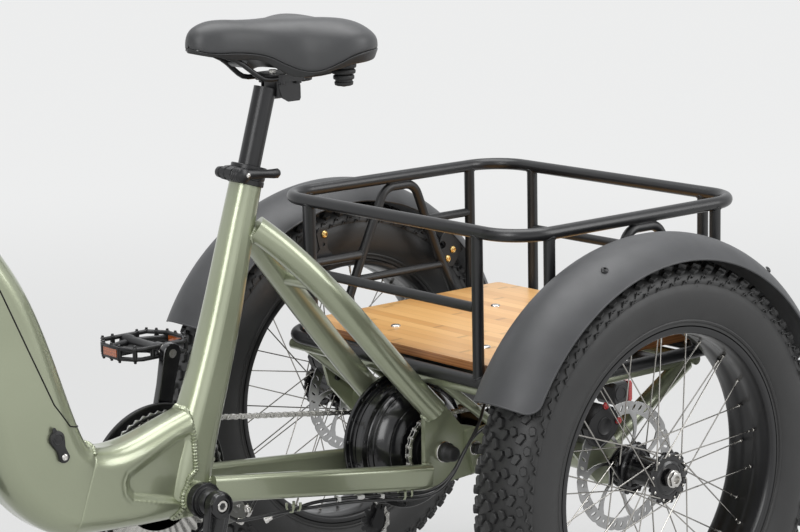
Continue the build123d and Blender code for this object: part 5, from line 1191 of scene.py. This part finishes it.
weld("weld_beam", (("lower_beam", "seat_tube"),), 4.2, 4.2)
weld("weld_seat_tube", (("seat_stays", "seat_tube"), ("chain_stays", "seat_tube"), ("bottom_bracket", "seat_tube")),
     2.8, 3.6)
weld("weld_dropouts", (("seat_stays", "dropouts"), ("chain_stays", "dropouts")), 3.4, 4.2)
weld("weld_head", (("down_tube", "head_tube"),), 2.6, 3.4)
weld("weld_beam_top", (("lower_beam", "down_tube"),), 3.6, 4.0, above=392.0)
weld("weld_subframe", (("subframe", "axle_tubes"),), 1.8, 2.8)
weld("weld_basket_posts", (("basket_posts", "basket_rim"), ("basket_posts", "basket_floor")), 1.3, 2.4, BASKET, 14.0)
weld("weld_basket_hoops", (("basket_hoops", "basket_rim"), ("basket_hoops", "basket_floor"),
                           ("basket_posts", "basket_hoops")), 1.2, 2.4, BASKET, 14.0)


# ------------------------------------------------------------------ fenders
FENDER_RADIUS = 328.0
FENDER_CROWN = 29.0
FENDER_CORNER = 20.0
FENDER_STEPS = 96


def fender(name, y, width, start, stop, replaces):
    """A rolled sheet over a rear wheel, with rounded corners and a thickened lip all round."""
    half = width / 2
    bend = (half * half + FENDER_CROWN ** 2) / (2 * FENDER_CROWN)
    reach = asin(half / bend)

    def spot(across, share, drop):
        """A point across the sheet, a share of the way along it and a drop under its skin."""
        edge = bend * (reach - abs(across))
        pull = FENDER_CORNER - sqrt(max(0.0, FENDER_CORNER ** 2 - (FENDER_CORNER - edge) ** 2)) \
            if edge < FENDER_CORNER else 0.0
        turn = pull / 315.0 * 180 / pi
        a = radians(start + turn + (stop - start - 2 * turn) * share)
        return REAR_HUB + LEFT * (y + (bend - drop) * sin(across)) \
            + ray(a, FENDER_RADIUS - bend + (bend - drop) * cos(across))

    acrosses = []
    for k in range(41):
        f = -1 + 2 * k / 40
        acrosses.append(reach * copysign(1 - (1 - abs(f)) ** 1.7, f))
    shares = [k / FENDER_STEPS for k in range(FENDER_STEPS + 1)]
    rows = [[spot(across, share, drop) for share in shares]
            for drop, order in ((0.0, 1), (2.5, -1)) for across in acrosses[::order]]
    sheet = Parts().grid(rows, close_rows=True)
    count, width = len(acrosses), len(shares)
    for k in (0, FENDER_STEPS):
        for j in range(count - 1):
            quad = [row * width + k for row in (j, j + 1, 2 * count - 2 - j, 2 * count - 1 - j)]
            sheet.faces.append(quad if k == 0 else quad[::-1])
    rim = [spot(across, 0, 1.2) for across in acrosses]
    rim += [spot(acrosses[-1], share, 1.2) for share in shares[1:-1]]
    rim += [spot(across, 1, 1.2) for across in reversed(acrosses)]
    rim += [spot(acrosses[0], share, 1.2) for share in shares[-2:0:-1]]
    sheet.tube(rim, 1.5, 8, closed=True)
    sheet.emit(name, FENDER, "frame", replaces, angle=50)


fender("fender_rear_left", TRACK / 2, 118, 27, 160, ("rear_fenders",))
fender("fender_rear_right", -TRACK / 2, 118, 27, 160, ())


# ------------------------------------------------------------------ motor axle, its caps and the bolted brackets
axle, caps = Parts(), Parts()
axle.lathe(((-76, 0.01), (-76, 6), (76, 6), (76, 0.01)), MOTOR, LEFT, 28)
for side in (1, -1):
    out = LEFT * side
    axle.washer(MOTOR + out * 66.1, out, 15.2, 6.2, 2.2)
    axle.washer(MOTOR + out * 47.5, out, 10.8, 6.2, 3.0)
    axle.lathe(((51, 6.2), (51, 9.6), (56.8, 9.6), (56.8, 6.2)), MOTOR, out, 24, six=(1, 2))
    caps.lathe(((68.4, 0.01), (68.4, 13.2), (69.2, 13.9), (74.5, 13.9), (75.4, 13.2), (76.4, 13.2), (77.2, 12.6),
                (79.6, 11.4), (86.4, 10.6), (88.6, 9.8), (89.8, 8.0), (90, 5.0), (90, 0.01)), MOTOR, out, 40)
axle.emit("motor_axle_bar", STEEL, "frame", ("motor_axle",), angle=38, slot="chain_steel")
caps.emit("motor_axle_caps", SOFT, angle=25)
heads, washers = Parts(), Parts()
for side in (1, -1):
    out = LEFT * side
    for dx, z in ((78, 294), (51, 297), (66, 272)):
        washers.washer(Vector((dx, side * 73, z)), out, 10.4, 4.4, 1.6)
        heads.bolt(Vector((dx, side * 74.4, z)), out, 8.0, "socket", 7.4)
heads.emit("bracket_bolts", ANODISED, angle=38)
washers.emit("bracket_washers", STEEL)


# ------------------------------------------------------------------ grips, display, headlight and stem
BAR_CENTRE = Vector((934.76, 0, 982.32))
BAR_KNEE = BAR_CENTRE + Vector((-62, 226, 66))
BAR_END = BAR_CENTRE + Vector((-190, 322, 62))
BAR_RADIUS = 11.1
GRIP_LENGTH = 118.0
GRIP_RADIUS = 16.5
GRIP_RIBS = 17


def grip_line(side):
    """The outer end of a grip and the direction from it along the bar."""
    line = (BAR_KNEE - BAR_END).normalized()
    return Vector((BAR_END.x, side * BAR_END.y, BAR_END.z)), Vector((line.x, side * line.y, line.z))


sleeves, collars = Parts(), Parts()
for side in (1, -1):
    end, inward = grip_line(side)
    profile = [(-3, 0.01), (-3, GRIP_RADIUS - 2.5), (-2, GRIP_RADIUS - 0.4), (1, GRIP_RADIUS + 0.9),
               (5, GRIP_RADIUS + 0.9)]
    for rib in range(GRIP_RIBS):
        start = 9 + rib * 5.6
        profile += [(start, GRIP_RADIUS - 1.3), (start + 0.7, GRIP_RADIUS), (start + 3.6, GRIP_RADIUS),
                    (start + 4.3, GRIP_RADIUS - 1.3)]
    profile += [(107, GRIP_RADIUS + 0.9), (114, GRIP_RADIUS + 0.9), (GRIP_LENGTH, GRIP_RADIUS - 2),
                (GRIP_LENGTH, BAR_RADIUS + 0.1)]
    sleeves.lathe(profile, end, inward, 40)
    collars.lathe(((118.4, BAR_RADIUS + 0.1), (118.4, 14.6), (119.2, 15.2), (122.6, 15.2), (123.4, 14.4),
                   (123.4, BAR_RADIUS + 0.1)), end, inward, 40)
sleeves.emit("grip_sleeves", RIBBED, "steering", ("grips",), angle=32)
collars.emit("grip_collars", ANODISED, "steering", angle=35)

DISPLAY_UP = Vector((-0.35, 0, 1)).normalized()
DISPLAY_AHEAD = Vector((1, 0, 0.35)).normalized()
DISPLAY_FACE = BAR_CENTRE + Vector((-8, 0, 21)) + DISPLAY_UP * 15


def rounded(length, width, corner, level):
    """A rounded rectangle on the display's face."""
    row = []
    for along, across, turn in ((1, 1, 0), (-1, 1, 90), (-1, -1, 180), (1, -1, 270)):
        for step in range(7):
            angle = radians(turn + 15 * step)
            row.append(DISPLAY_FACE + DISPLAY_AHEAD * (along * (length / 2 - corner) + corner * cos(angle))
                       + Vector((0, across * (width / 2 - corner) + corner * sin(angle), 0)) + DISPLAY_UP * level)
    return row


bezel, window = Parts(), Parts()
bezel.grid([rounded(52, 74, 7, -0.5), rounded(52, 74, 7, 1.4), rounded(50, 72, 6.2, 2.0), rounded(45, 66, 4.6, 1.9),
            rounded(44, 65, 4.2, 1.0)], close_columns=True, caps=True)
bezel.emit("display_bezel", PLASTIC, "steering", angle=32)
window.grid([rounded(42, 63, 4, 0.6), rounded(42, 63, 4, 1.9), rounded(41, 62, 3.6, 2.3)], close_columns=True,
            caps=True)
window.emit("display_window", SCREEN, "steering", angle=30)

LAMP_AT = Vector((1086.56, 0, 711.85))
LAMP_LONG = 42.0
LAMP_RADIUS = 30.0
shade, glass = Parts(), Parts()
shade.lathe([(LAMP_LONG + a, LAMP_RADIUS + b) for a, b in ((-3, 0.1), (-2.4, 0.7), (1.6, 0.7), (2.4, -0.4), (2.4, -3.4),
                                                           (0.2, -4.4), (-3, -4.4))],
            LAMP_AT, AHEAD, 72, closed=True)
for fin in range(4):
    start = 7 + 5.4 * fin
    shade.lathe(((start, LAMP_RADIUS - 0.5), (start, LAMP_RADIUS + 0.6), (start + 2.2, LAMP_RADIUS + 0.6),
                 (start + 2.2, LAMP_RADIUS - 0.5)), LAMP_AT, AHEAD, 72, closed=True)
shade.emit("headlight_bezel", PLASTIC, "steering", angle=32)
glass.lathe(((LAMP_LONG - 0.4, 25.4), (LAMP_LONG + 0.6, 25.4), (LAMP_LONG + 1.4, 18), (LAMP_LONG + 1.8, 8),
             (LAMP_LONG + 1.9, 0.01)), LAMP_AT, AHEAD, 72)
glass.emit("headlight_lens", GLASS, "steering", angle=40)

clamp = Parts()
for side in (1, -1):
    for up in (-1, 1):
        clamp.bolt(BAR_CENTRE + Vector((15.6, side * 17, up * 10)), AHEAD, 3.4, "socket", 3.2)
STEERER_FOOT = Vector((1152.99, 0, 279.87))
STEER_UP = ray(radians(180 - 69))
STEER_BACK = Vector((-STEER_UP.z, 0, STEER_UP.x))
for reach in (636, 652):
    clamp.bolt(STEERER_FOOT + STEER_UP * reach + STEER_BACK * 19.7, STEER_BACK, 3.6, "socket", 3.4)
clamp.emit("stem_bolts", STEEL, "steering", angle=38)


# ------------------------------------------------------------------ the lower beam with its pressed sides
RECESS = [Vector(p) for p in ((528, 394), (552, 392), (634, 357), (639, 347), (637, 333), (628, 322), (556, 301),
                              (528, 296))]


def depth_inside(x, z, outline):
    """How far a point is inside a polygon, in millimetres, less than nought outside it."""
    here = Vector((x, z))
    nearest = 1e9
    inside = False
    for a, b in zip(outline, outline[1:] + outline[:1]):
        t = max(0.0, min(1.0, (here - a).dot(b - a) / (b - a).length_squared))
        nearest = min(nearest, (here - a - (b - a) * t).length)
        if (a.y > z) != (b.y > z) and x < (b.x - a.x) * (z - a.y) / (b.y - a.y) + a.x:
            inside = not inside
    return nearest if inside else -nearest


def reshaped(node, name, voxel, move):
    """A copy of a CAD node, meshed evenly, with its points moved by a rule, that stands for the node."""
    obj = bpy.data.objects.new(name, nodes[node].data.copy())
    remesh = obj.modifiers.new("even", "REMESH")
    remesh.mode = "VOXEL"
    remesh.voxel_size = voxel * MM
    mesh = evaluated(obj)
    surface = BVHTree.FromPolygons([v.co.copy() for v in nodes[node].data.vertices],
                                   [tuple(face.vertices) for face in nodes[node].data.polygons])
    for vertex in mesh.vertices:
        hit = surface.find_nearest(vertex.co, 3 * voxel * MM)
        if hit[0] is not None:
            vertex.co = hit[0]
        vertex.co += move(vertex.co / MM - ORIGIN) * MM
    mesh.shade_smooth()
    return piece(name, mesh, GREEN, "frame", (node,))


def pressed(place):
    """How the beam's sides move in over their recess, with a faint raised rim around it."""
    deep = depth_inside(place.x, place.z, RECESS)
    t = max(0.0, min(1.0, (deep + 2.0) / 11.0))
    rim = exp(-((deep + 3.5) / 3.0) ** 2) * 0.5
    share = max(0.0, min(1.0, (abs(place.y) - 8) / 12))
    return LEFT * -copysign(7.5 * t * t * (3 - 2 * t) - rim, place.y) * share


reshaped("lower_beam", "lower_beam_shell", 2.2, pressed)


# ------------------------------------------------------------------ battery door seam and charge port flap
# A dark line along the battery door's seam: partly the cover's black edge, partly painted shade standing in for the
# shadow in the groove.
SEAM_EDGE_AND_SHADE = plain("seam_edge_and_painted_shade", (0.006, 0.006, 0.0065), 0.6, 0.0, 0.05, 900.0, specular=0.2)
seam_edge_and_shade_line = Parts()
for line in loops_where_they_meet("battery_cover", "down_tube", 0.9):
    if length_of(line) < 60:
        continue
    closed = (line[0] - line[-1]).length < 0.01
    points = [p - ORIGIN for p in even(line, 3.0)]
    seam_edge_and_shade_line.tube(points[:-1] if closed else points, 0.95, 8, closed=closed)
seam_edge_and_shade_line.emit("battery_door_seam_edge_and_shade", SEAM_EDGE_AND_SHADE, angle=60)

flap, screws = Parts(), Parts()
HIGH = Vector((745.0, 0, 427.0))
LOW = Vector((736.0, 0, 402.4))
run = (LOW - HIGH).normalized()
wide = LEFT.cross(run)
span = (LOW - HIGH).length


def flap_outline(inset):
    neck = ((8.5, 8.6 - inset), (14, 6.6 - inset), (19, 6.6 - inset))
    return arc(10.6 - inset, 62, 236, 14) + [(a, -b) for a, b in neck] + arc(7.8 - inset, -78, 156, 12, span) \
        + list(reversed(neck))


rows = []
for inset, level in ((0.4, 40.0), (0.0, 41.0), (0.0, 44.2), (0.6, 45.4), (1.8, 46.0)):
    rows.append([HIGH + run * a + wide * b + LEFT * level for a, b in flap_outline(inset)])
flap.grid(rows, close_columns=True, caps=True)
flap.lathe(((45.4, 7.8), (46.4, 7.6), (46.9, 6.8), (46.4, 6.0), (45.6, 5.8), (45.6, 4.0), (46.6, 3.6), (46.8, 0.01)),
           HIGH, LEFT, 40)
flap.lathe(((45.6, 6.0), (46.6, 5.8), (46.9, 5.2), (46.4, 4.6)), LOW, LEFT, 36)
flap.prism([(-15.5, -1.5), (-9.5, -3.8), (-9.5, 3.4), (-15, 2.6), (-16.2, 1.2)], HIGH + LEFT * 43.4, run, wide,
           2.4, 0.6)
flap.emit("charge_port_flap", SOFT, "frame", ("charge_port_cap",), angle=32)
screws.bolt(LOW + LEFT * 45.8, LEFT, 4.4, "button", 2.2)
screws.emit("charge_port_screw", STEEL, angle=38)


# ------------------------------------------------------------------ cables, their guides and the splitter
for side, word in SIDES:
    stay = [(408, 20, 247), (398, 27, 251), (372, 45, 262), (348, 50.5, 266), (296, 54, 261.5), (246, 57.5, 255),
            (204, 63, 249.0), (176, 74, 248)]
    climb = [(154, 88, 257), (136, 96, 278), (122, 98, 301), (102, 98, 322), (84, 112, 338), (74, 150, 344),
             (70, 186, 350), (66, 218, 364), (64, 246, 378), (60, 266, 388)]
    held_line("brake_hose_" + word, [(dx, side * y, z) for dx, y, z in stay + climb], 2.5)
block = Parts()
block.prism([(-17, -10), (15, -12.5), (19, -10), (15, 12), (11, 13), (-15, 13), (-19, 9)], (430, -20, 251), AHEAD, UP,
            40, 2.0)
block.box((452, 0, 277), (14, 26, 5), chamfer=1.0)
block.tube([(452, 0, 279), (449, 0, 270), (441, 0, 262)], 4.0, 10)
block.emit("splitter_block", plain("splitter_grey", (0.16, 0.16, 0.15), 0.42, 0.2, 0.10, 900.0), "frame",
           ("brake_hoses",))
ends = Parts()
for side in (1, -1):
    ends.lathe(((0, 2.8), (0, 5.2), (4, 5.2), (4.4, 4.2), (9, 4.0), (11, 3.2), (11, 2.4)), (411.5, side * 20, 247),
               (-0.9, 0.35 * side, 0.35), 12)
    ends.lathe(((0, 2.8), (0, 5.0), (4, 5.0), (4.4, 4.0), (8.5, 3.8), (10, 3.0), (10, 2.4)), (447, side * 17, 252),
               (0.9, 0, 0.4), 12)
    ends.lathe(((0, 2.8), (0, 4.6), (5, 4.6), (5.4, 3.8), (9, 3.6), (10, 3.0), (10, 2.4)), (434, side * 12, 263),
               (0.2, 0, 1), 12)
ends.emit("splitter_fittings", STEEL, angle=38)
held_line("brake_hose_feed", [(455, 17, 255.5), (466, 17, 261), (474, 17, 270), (478, 16, 281)], 2.3)
held_line("gear_cable_feed", [(436, 12, 272), (440, 12, 282), (452, 12, 290), (470, 12, 294)], 2.3)
held_line("motor_cable_left", [(470, 38, 262), (446, 44, 262), (418, 47.5, 263), (386, 50, 262), (346, 52.5, 259),
                               (298, 57, 256), (248, 61, 250), (206, 65, 244), (178, 78, 243), (158, 92, 253),
                               (141, 100, 275), (127, 102.5, 300), (106, 102, 324), (88, 98, 344), (70, 84, 358),
                               (52, 76, 366)], 2.3)
guides = Parts()
for side in (1, -1):
    for dx, y, z, drop in ((386, 50.5, 266.8, 9.0), (201, 64, 249.6, 9.0)):
        for end in (-6.0, 6.0):
            guides.tube([(dx + end, side * (y + a), z + b) for a, b in
                         ((-6.5, 5), (-6.8, -2), (-4, -5.0), (1, -5.8), (6, -4.6), (7.8, 0), (7.5, 6))],
                        [2.2, 1.6, 1.5, 1.5, 1.5, 1.7, 2.4], 8)
guides.emit("cable_guides", GREEN, angle=60)
clip = Parts()
clip.box((276, 55.5, 259.5), (9, 13, 5.5), chamfer=1.0)
clip.box((312, 53.2, 263.4), (3.0, 12, 6.5), chamfer=0.6)
clip.box((240, 58.8, 254.2), (3.0, 12, 6.5), chamfer=0.6)
clip.emit("cable_clips", plain("white_nylon", (0.62, 0.62, 0.60), 0.45, 0.0, 0.05, 900.0), angle=40)


# ------------------------------------------------------------------ fender brackets, deck screws and fender bolts
STRIP = [(66, 566), (80, 566), (85, 558), (80, 534), (88, 526), (92, 521), (54, 521), (59, 527), (66, 534), (64, 556)]
STRIP_HOLE = oval((73, 541), 3.2, 3.2, 14)
REAR_PLATE = [(-150, 500), (-163, 523), (-172, 530), (-196, 510), (-204, 496), (-184, 472), (-172, 474)]
PLATE_HOLE = oval((-163, 508), hypot(3, 6), hypot(3, 6), 16, atan2(6, 3))
for side, word in SIDES:
    spot = (0, side * 267, 0)
    flat_plate("fender_strip_" + word, [STRIP, STRIP_HOLE], spot, AHEAD, UP, 3.0, BASKET, "frame",
               ("fender_brackets",) if side > 0 else (), edge=0.4)
    flat_plate("fender_plate_" + word, [REAR_PLATE, PLATE_HOLE], spot, AHEAD, UP, 3.0, BASKET, edge=0.4)
gold, pins = Parts(), Parts()
for side in (1, -1):
    for dx, z in ((71, 556), (-184, 498), (-173, 485)):
        gold.bolt((dx, side * 265.4, z), LEFT * -side, 5.9, "button", 3.4)
        pins.lathe(((0, 4.2), (18, 4.2)), (dx, side * 268.6, z), LEFT * side, 20)
gold.emit("fender_bracket_screws", BRASS, angle=38)
pins.emit("fender_bracket_pins", ANODISED)
screws = Parts()
for dx, y in ((77, 97), (77, -97), (-119, 97), (-119, -97)):
    screws.lathe(((0.02, 7.2), (1.0, 7.0), (2.2, 5.6), (2.6, 3.6), (2.5, 2.6), (1.0, 2.4), (0.9, 0.01)), (dx, y, 443),
                 UP, 24, six=(4, 5))
screws.emit("deck_screws", STEEL, angle=38)
outer = Parts()
for side in (1, -1):
    for angle in (68.5, 127.5):
        radial = ray(radians(angle))
        outer.bolt(REAR_HUB + radial * 322.2 + LEFT * (side * (TRACK / 2 + 31.0)), radial * 0.8 + LEFT * (side * 0.6),
                   5.0, "button", 2.8)
outer.emit("fender_screws", ANODISED, angle=38)
# The front fender's rolled lip
lip = Parts()
for hand in (1, -1):
    lip.tube([FRONT_HUB + LEFT * (hand * 54.9) + ray(radians(43 + 150 * k / 120), 299.9) for k in range(121)], 1.6, 8)
lip.emit("front_fender_lip", FENDER, "steering")

# Deck clamps under the board, which with the tray's cross bars keep it down.
clips = Parts()
for dx in (-200.0, 115.0):
    for y in (-150.0, 150.0):
        clips.box((dx, y, 430.6), (34, 18, 1.6), chamfer=0.5)
        clips.tube([(dx - 12, y, 431.2), (dx - 10.6, y, 424), (dx, y, 412.6), (dx + 10.6, y, 424), (dx + 12, y, 431.2)],
                   1.9, 8)
clips.emit("deck_clips", ANODISED)


# ------------------------------------------------------------------ disc brake calipers
def caliper(name, x, rotor_y, low, high, degrees, replaces, body):
    """Two halves bolted over the disc, with the pistons' caps, adjuster, bridge and hose banjo."""
    out = ray(radians(degrees))
    tangent = ray(radians(degrees + 90))

    def spot(t, r, y):
        return Vector((x, y, WHEEL_Z)) + tangent * t + out * (85 + r)

    shape = ((-28, -10), (-22, -22), (-8, -25), (10, -25), (23, -20), (28, -8), (28, 8), (20, 20), (8, 24), (-12, 24),
             (-24, 18), (-28, 6))
    block = Parts()
    for near, far in ((low, rotor_y - 3.1), (rotor_y + 3.1, high)):
        block.prism(shape, spot(0, 0, far), tangent, out, near - far, 2.0)
    block.prism(((-24, 5.5), (24, 5.5), (20, 20), (8, 24), (-12, 24), (-22, 18)), spot(0, 0, rotor_y + 3.3), tangent,
                out, -6.6, 0.8)
    (thin, thin_way), (thick, thick_way) = sorted(((low, -1), (high, 1)), key=lambda face: abs(face[0] - rotor_y))
    block.lathe(((-0.6, 15.4), (1.6, 15.4), (2.6, 14.4), (3.2, 12.4), (5.4, 11.8), (6.4, 10.8), (6.4, 5.2), (5.0, 4.8),
                 (5.0, 0.01)), spot(2, -4, thick), LEFT * thick_way, 36, six=(7, 8))
    block.lathe(((0, 4.4), (4, 4.4), (4.8, 3.6), (4.8, 0.01)), spot(-19, 8, thick), LEFT * thick_way, 20)
    block.lathe(((-0.4, 13.4), (0.8, 13.0), (1.2, 11.6), (0.6, 10.6), (0.6, 0.01)), spot(2, -4, thin), LEFT * thin_way,
                36)
    block.emit(name, ANODISED, body, replaces, bevel=0.5)
    bolts, dial = Parts(), Parts()
    for t, r in ((-20, 10), (20, 8)):
        bolts.bolt(spot(t, r, thick), LEFT * thick_way, 4.2, "socket", 4.2)
    bolts.emit(name + "_bolts", STEEL, body, angle=38)
    for t, r in ((24, -16), (20, 18)):
        dial.lathe(((0, 5.2), (2.2, 5.2), (3.0, 4.4), (3.0, 0.01)), spot(t, r, thin), LEFT * thin_way, 10)
    dial.emit(name + "_adjusters", RED, body, angle=30)


for side, word in SIDES:
    caliper("caliper_rear_" + word, 0, side * 290.0, *sorted((side * 264.0, side * 300.0)), 53.0,
            ("rear_calipers",) if side > 0 else (), "frame")
caliper("caliper_front", WHEELBASE, 49.0, 41.0, 68.0, 142.0, ("front_caliper",), "steering")
plate_bolts = Parts()
for side in (1, -1):
    for dx, z in ((2, 304), (18, 330), (60, 336), (66, 372)):
        plate_bolts.bolt((dx, side * 258.0, z), LEFT * -side, 4.6, "socket", 4.0)
plate_bolts.emit("caliper_plate_bolts", ANODISED, angle=38)


# ------------------------------------------------------------------ tail light
TAIL = Vector((-272, 0, 302))
light = Parts()
outline = ((-21, -12), (-16, -17), (15, -17), (21, -11), (21, 11), (15, 17), (-16, 17), (-21, 12))
light.prism([(a * 0.74 + 4.5, b) for a, b in outline], TAIL + LEFT * 20, AHEAD, UP, 40, 2.0)
for side in (1, -1):
    hand = LEFT * side
    light.lathe(((-0.6, 12.6), (0.6, 12.6), (1.2, 11.9), (1.2, 9.2), (0.2, 8.6), (0.2, 5.0), (-0.6, 4.4), (-0.6, 0.01)),
                TAIL + Vector((5, side * 19.9, 0)), hand, 36)
light.emit("tail_light_body", PLASTIC, "frame", ("tail_light",), angle=30)
hanger = Parts()
hanger.box(TAIL + Vector((10, 0, 58)), (4, 18, 84), (AHEAD, LEFT, (-0.09, 0, 1)), 0.6)
hanger.box(TAIL + Vector((9, 0, 15.5)), (20, 18, 4), chamfer=0.6)
for dx, z in ((16.2, 92), (15.0, 34)):
    hanger.bolt(TAIL + Vector((dx, 0, z)), (1, 0, -0.09), 4.4, "button", 2.4)
hanger.emit("tail_light_hanger", ANODISED, angle=38, slot="lamp")
red = Parts()
red.prism([(-20.8, -13), (-18.0, -16.6), (-11.6, -16.6), (-11.6, 16.6), (-18.0, 16.6), (-20.8, 13)],
          TAIL + LEFT * 19.4, AHEAD, UP, 38.8, 1.4)
red.emit("tail_light_lens", RED, angle=30)


# ------------------------------------------------------------------ derailleur
mech = Parts()
run = (TENSION - GUIDE).normalized()
length = (TENSION - GUIDE).length
CAGE = [(-10, 0), (-9.2, 4), (-6, 8.2), (0, 10), (10, 9.4), (20, 6.4), (34, 6.4), (length - 8, 9), (length, 10),
        (length + 6, 8.2), (length + 9.4, 3.6), (length + 9.4, -3.6), (length + 6, -8.2), (length, -10),
        (length - 9, -7.4), (30, -5.2), (12, -7.4), (0, -10), (-6, -8.2)]
WINDOW = oval((length / 2, 0), 9, 2.6, 20)
for word, y, replaces in (("out", -6.4, ("rear_derailleur",)), ("in", 6.4, ())):
    flat_plate("derailleur_cage_" + word, [CAGE, WINDOW], GUIDE + LEFT * y, run, LEFT.cross(run), 1.6, ANODISED,
               "frame", replaces, edge=0.3)
for centre in (GUIDE, TENSION):
    cog(mech, centre, PULLEY_TEETH, 2.2, 3.2)
    mech.lathe(((-5.4, 3.1), (-5.4, 7.4), (-1.2, 8.4), (-1.2, 12.2), (1.2, 12.2), (1.2, 8.4), (5.4, 7.4), (5.4, 3.1)),
               centre, LEFT, 28, closed=True)
mech.emit("derailleur_pulleys", PLASTIC, angle=35, slot="black_rubber")
arm = Parts()
arm.prism(((-36, -28), (-28, -22), (-18, -25), (8, -45), (24, -60), (26, -66), (22, -83), (3, -84), (-6, -78),
           (-36, -48), (-39, -38)), MOTOR - LEFT * 66.2, AHEAD, UP, 9.0, 2.0)
arm.lathe(((0, 13), (2, 13.6), (8, 13.6), (10.4, 12), (11.2, 9.4), (11.2, 5.4), (10, 5.0), (10, 0.01)),
          (104, -66.2, 260), -LEFT, 36, six=(6, 7))
arm.lathe(((0, 12), (2, 12.6), (7, 12.6), (9.4, 11), (10.2, 8.4), (10.2, 4.4), (9, 4.0), (9, 0.01)),
          (142, -66.2, 226), -LEFT, 36, six=(6, 7))
arm.lathe(((0, 8.5), (6.6, 8.5)), (142, -59.6, 226), -LEFT, 24)
arm.prism(((-8, -4), (30, -26), (38, -20), (34, -12), (-2, 9)), Vector((112, -78.0, 252)), AHEAD, UP, -3.4, 0.8)
arm.emit("derailleur_arm", ANODISED, angle=35, bevel=0.5)
bright = Parts()
bright.lathe(((0, 2.2), (2, 3.6), (9, 3.8), (10, 3.2), (13, 2.4), (15, 2.0), (15, 0.01)), (96, -72, 249),
             (-0.8, 0, -0.55), 16)
for centre in (GUIDE, TENSION):
    bright.bolt(centre - LEFT * 8.2, -LEFT, 3.6, "socket", 2.2)
bright.bolt((104, -77.2, 260), -LEFT, 4.6, "socket", 2.0)
bright.emit("derailleur_screws", STEEL, angle=38)


# ------------------------------------------------------------------ camera
def aim(obj, position, forward, roll=0.0):
    forward = Vector(forward).normalized()
    right = forward.cross(UP).normalized()
    down = forward.cross(right)
    level = right * cos(roll) + down * sin(roll)
    up = -(forward.cross(level))
    obj.matrix_world = Matrix(((level.x, up.x, -forward.x, position[0]),
                               (level.y, up.y, -forward.y, position[1]),
                               (level.z, up.z, -forward.z, position[2]), (0, 0, 0, 1)))


CAMERA_AZIMUTH = radians(49.9)
CAMERA_DROP = radians(11.06)
camera = bpy.data.objects.new("camera", bpy.data.cameras.new("camera"))
bpy.context.scene.collection.objects.link(camera)
camera.data.sensor_width = 36.0
camera.data.lens = 111.5
camera.data.clip_end = 100.0
aim(camera, at(2330, 2591, 1217),
    (-cos(CAMERA_DROP) * cos(CAMERA_AZIMUTH), -cos(CAMERA_DROP) * sin(CAMERA_AZIMUTH),
     -sin(CAMERA_DROP)), radians(1.16))
bpy.context.scene.camera = camera
bpy.context.scene.view_settings.view_transform = "Standard"


def plane(name, corners, material):
    mesh = bpy.data.meshes.new(name)
    mesh.from_pydata([Vector(c) for c in corners], [], [tuple(range(len(corners)))])
    obj = bpy.data.objects.new(name, mesh)
    bpy.context.scene.collection.objects.link(obj)
    obj.data.materials.append(material)
    return obj


def lamp(name, position, target, width, height, watts):
    data = bpy.data.lights.new(name, "AREA")
    data.shape = "RECTANGLE"
    data.size = width
    data.size_y = height
    data.energy = watts
    obj = bpy.data.objects.new(name, data)
    bpy.context.scene.collection.objects.link(obj)
    aim(obj, position, Vector(target) - Vector(position))
    return obj


# ------------------------------------------------------------------ the room
def seen(tree):
    """One where the camera, a reflection or clear plastic shows the backdrop, nought for its own light."""
    path = tree.nodes.new("ShaderNodeLightPath")
    parts = [path.outputs[name] for name in ("Is Camera Ray", "Is Glossy Ray", "Is Transmission Ray")]
    total = parts[0]
    for part in parts[1:]:
        both = tree.nodes.new("ShaderNodeMath")
        both.operation = "MAXIMUM"
        tree.links.new(total, both.inputs[0])
        tree.links.new(part, both.inputs[1])
        total = both.outputs[0]
    return total


def floor_material():
    """A pale matt floor that fades to an even white away from the object and keeps its shadow."""
    m = Nodes("floor").set(Base_Color=(0.50, 0.50, 0.495, 1), Roughness=0.75)
    tree = m.tree
    out = next(node for node in tree.nodes if node.type == "OUTPUT_MATERIAL")
    near = m.add("ShaderNodeVectorMath", operation="DISTANCE")
    m.link(m.coords.outputs["Object"], near.inputs[0])
    near.inputs[1].default_value = (-0.2, 0.0, 0.0)
    share = m.add("ShaderNodeMapRange", interpolation_type="SMOOTHSTEP")
    m.link(near.outputs["Value"], share.inputs["Value"])
    for socket, value in (("From Min", 0.7), ("From Max", 4.5), ("To Min", 0.55), ("To Max", 0.95)):
        share.inputs[socket].default_value = value
    glow = m.add("ShaderNodeEmission")
    glow.inputs["Color"].default_value = (0.875, 0.88, 0.88, 1)
    both = m.add("ShaderNodeMath", operation="MULTIPLY")
    m.link(share.outputs["Result"], both.inputs[0])
    m.link(seen(tree), both.inputs[1])
    mix = m.add("ShaderNodeMixShader")
    m.link(both.outputs[0], mix.inputs[0])
    m.link(m.shader.outputs[0], mix.inputs[1])
    m.link(glow.outputs[0], mix.inputs[2])
    m.link(mix.outputs[0], out.inputs["Surface"])
    return m.material


plane("floor_plane", ((-30, -30, -0.001), (30, -30, -0.001), (30, 30, -0.001), (-30, 30, -0.001)),
      floor_material())
lamp("overhead", (-0.6, -0.2, 3.4), (-0.5, 0.0, 0.5), 3.4, 2.6, 108)
lamp("front_left", (2.4, 1.2, 2.0), (-0.3, 0.0, 0.5), 1.4, 2.2, 48)
lamp("left_low", (0.3, 3.0, 0.75), (-0.3, 0.0, 0.4), 2.6, 1.0, 6)
lamp("left_rear", (-2.4, 2.6, 1.8), (-0.5, 0.0, 0.5), 1.6, 2.2, 46)
world = bpy.data.worlds.new("room")
world.use_nodes = True
bpy.context.scene.world = world
tree = world.node_tree
background = tree.nodes["Background"]
sky = tree.nodes.new("ShaderNodeMix")
sky.data_type = "RGBA"
sky.inputs[6].default_value = (0.36, 0.365, 0.37, 1)
sky.inputs[7].default_value = (0.86, 0.87, 0.88, 1)
tree.links.new(seen(tree), sky.inputs[0])
tree.links.new(sky.outputs[2], background.inputs["Color"])
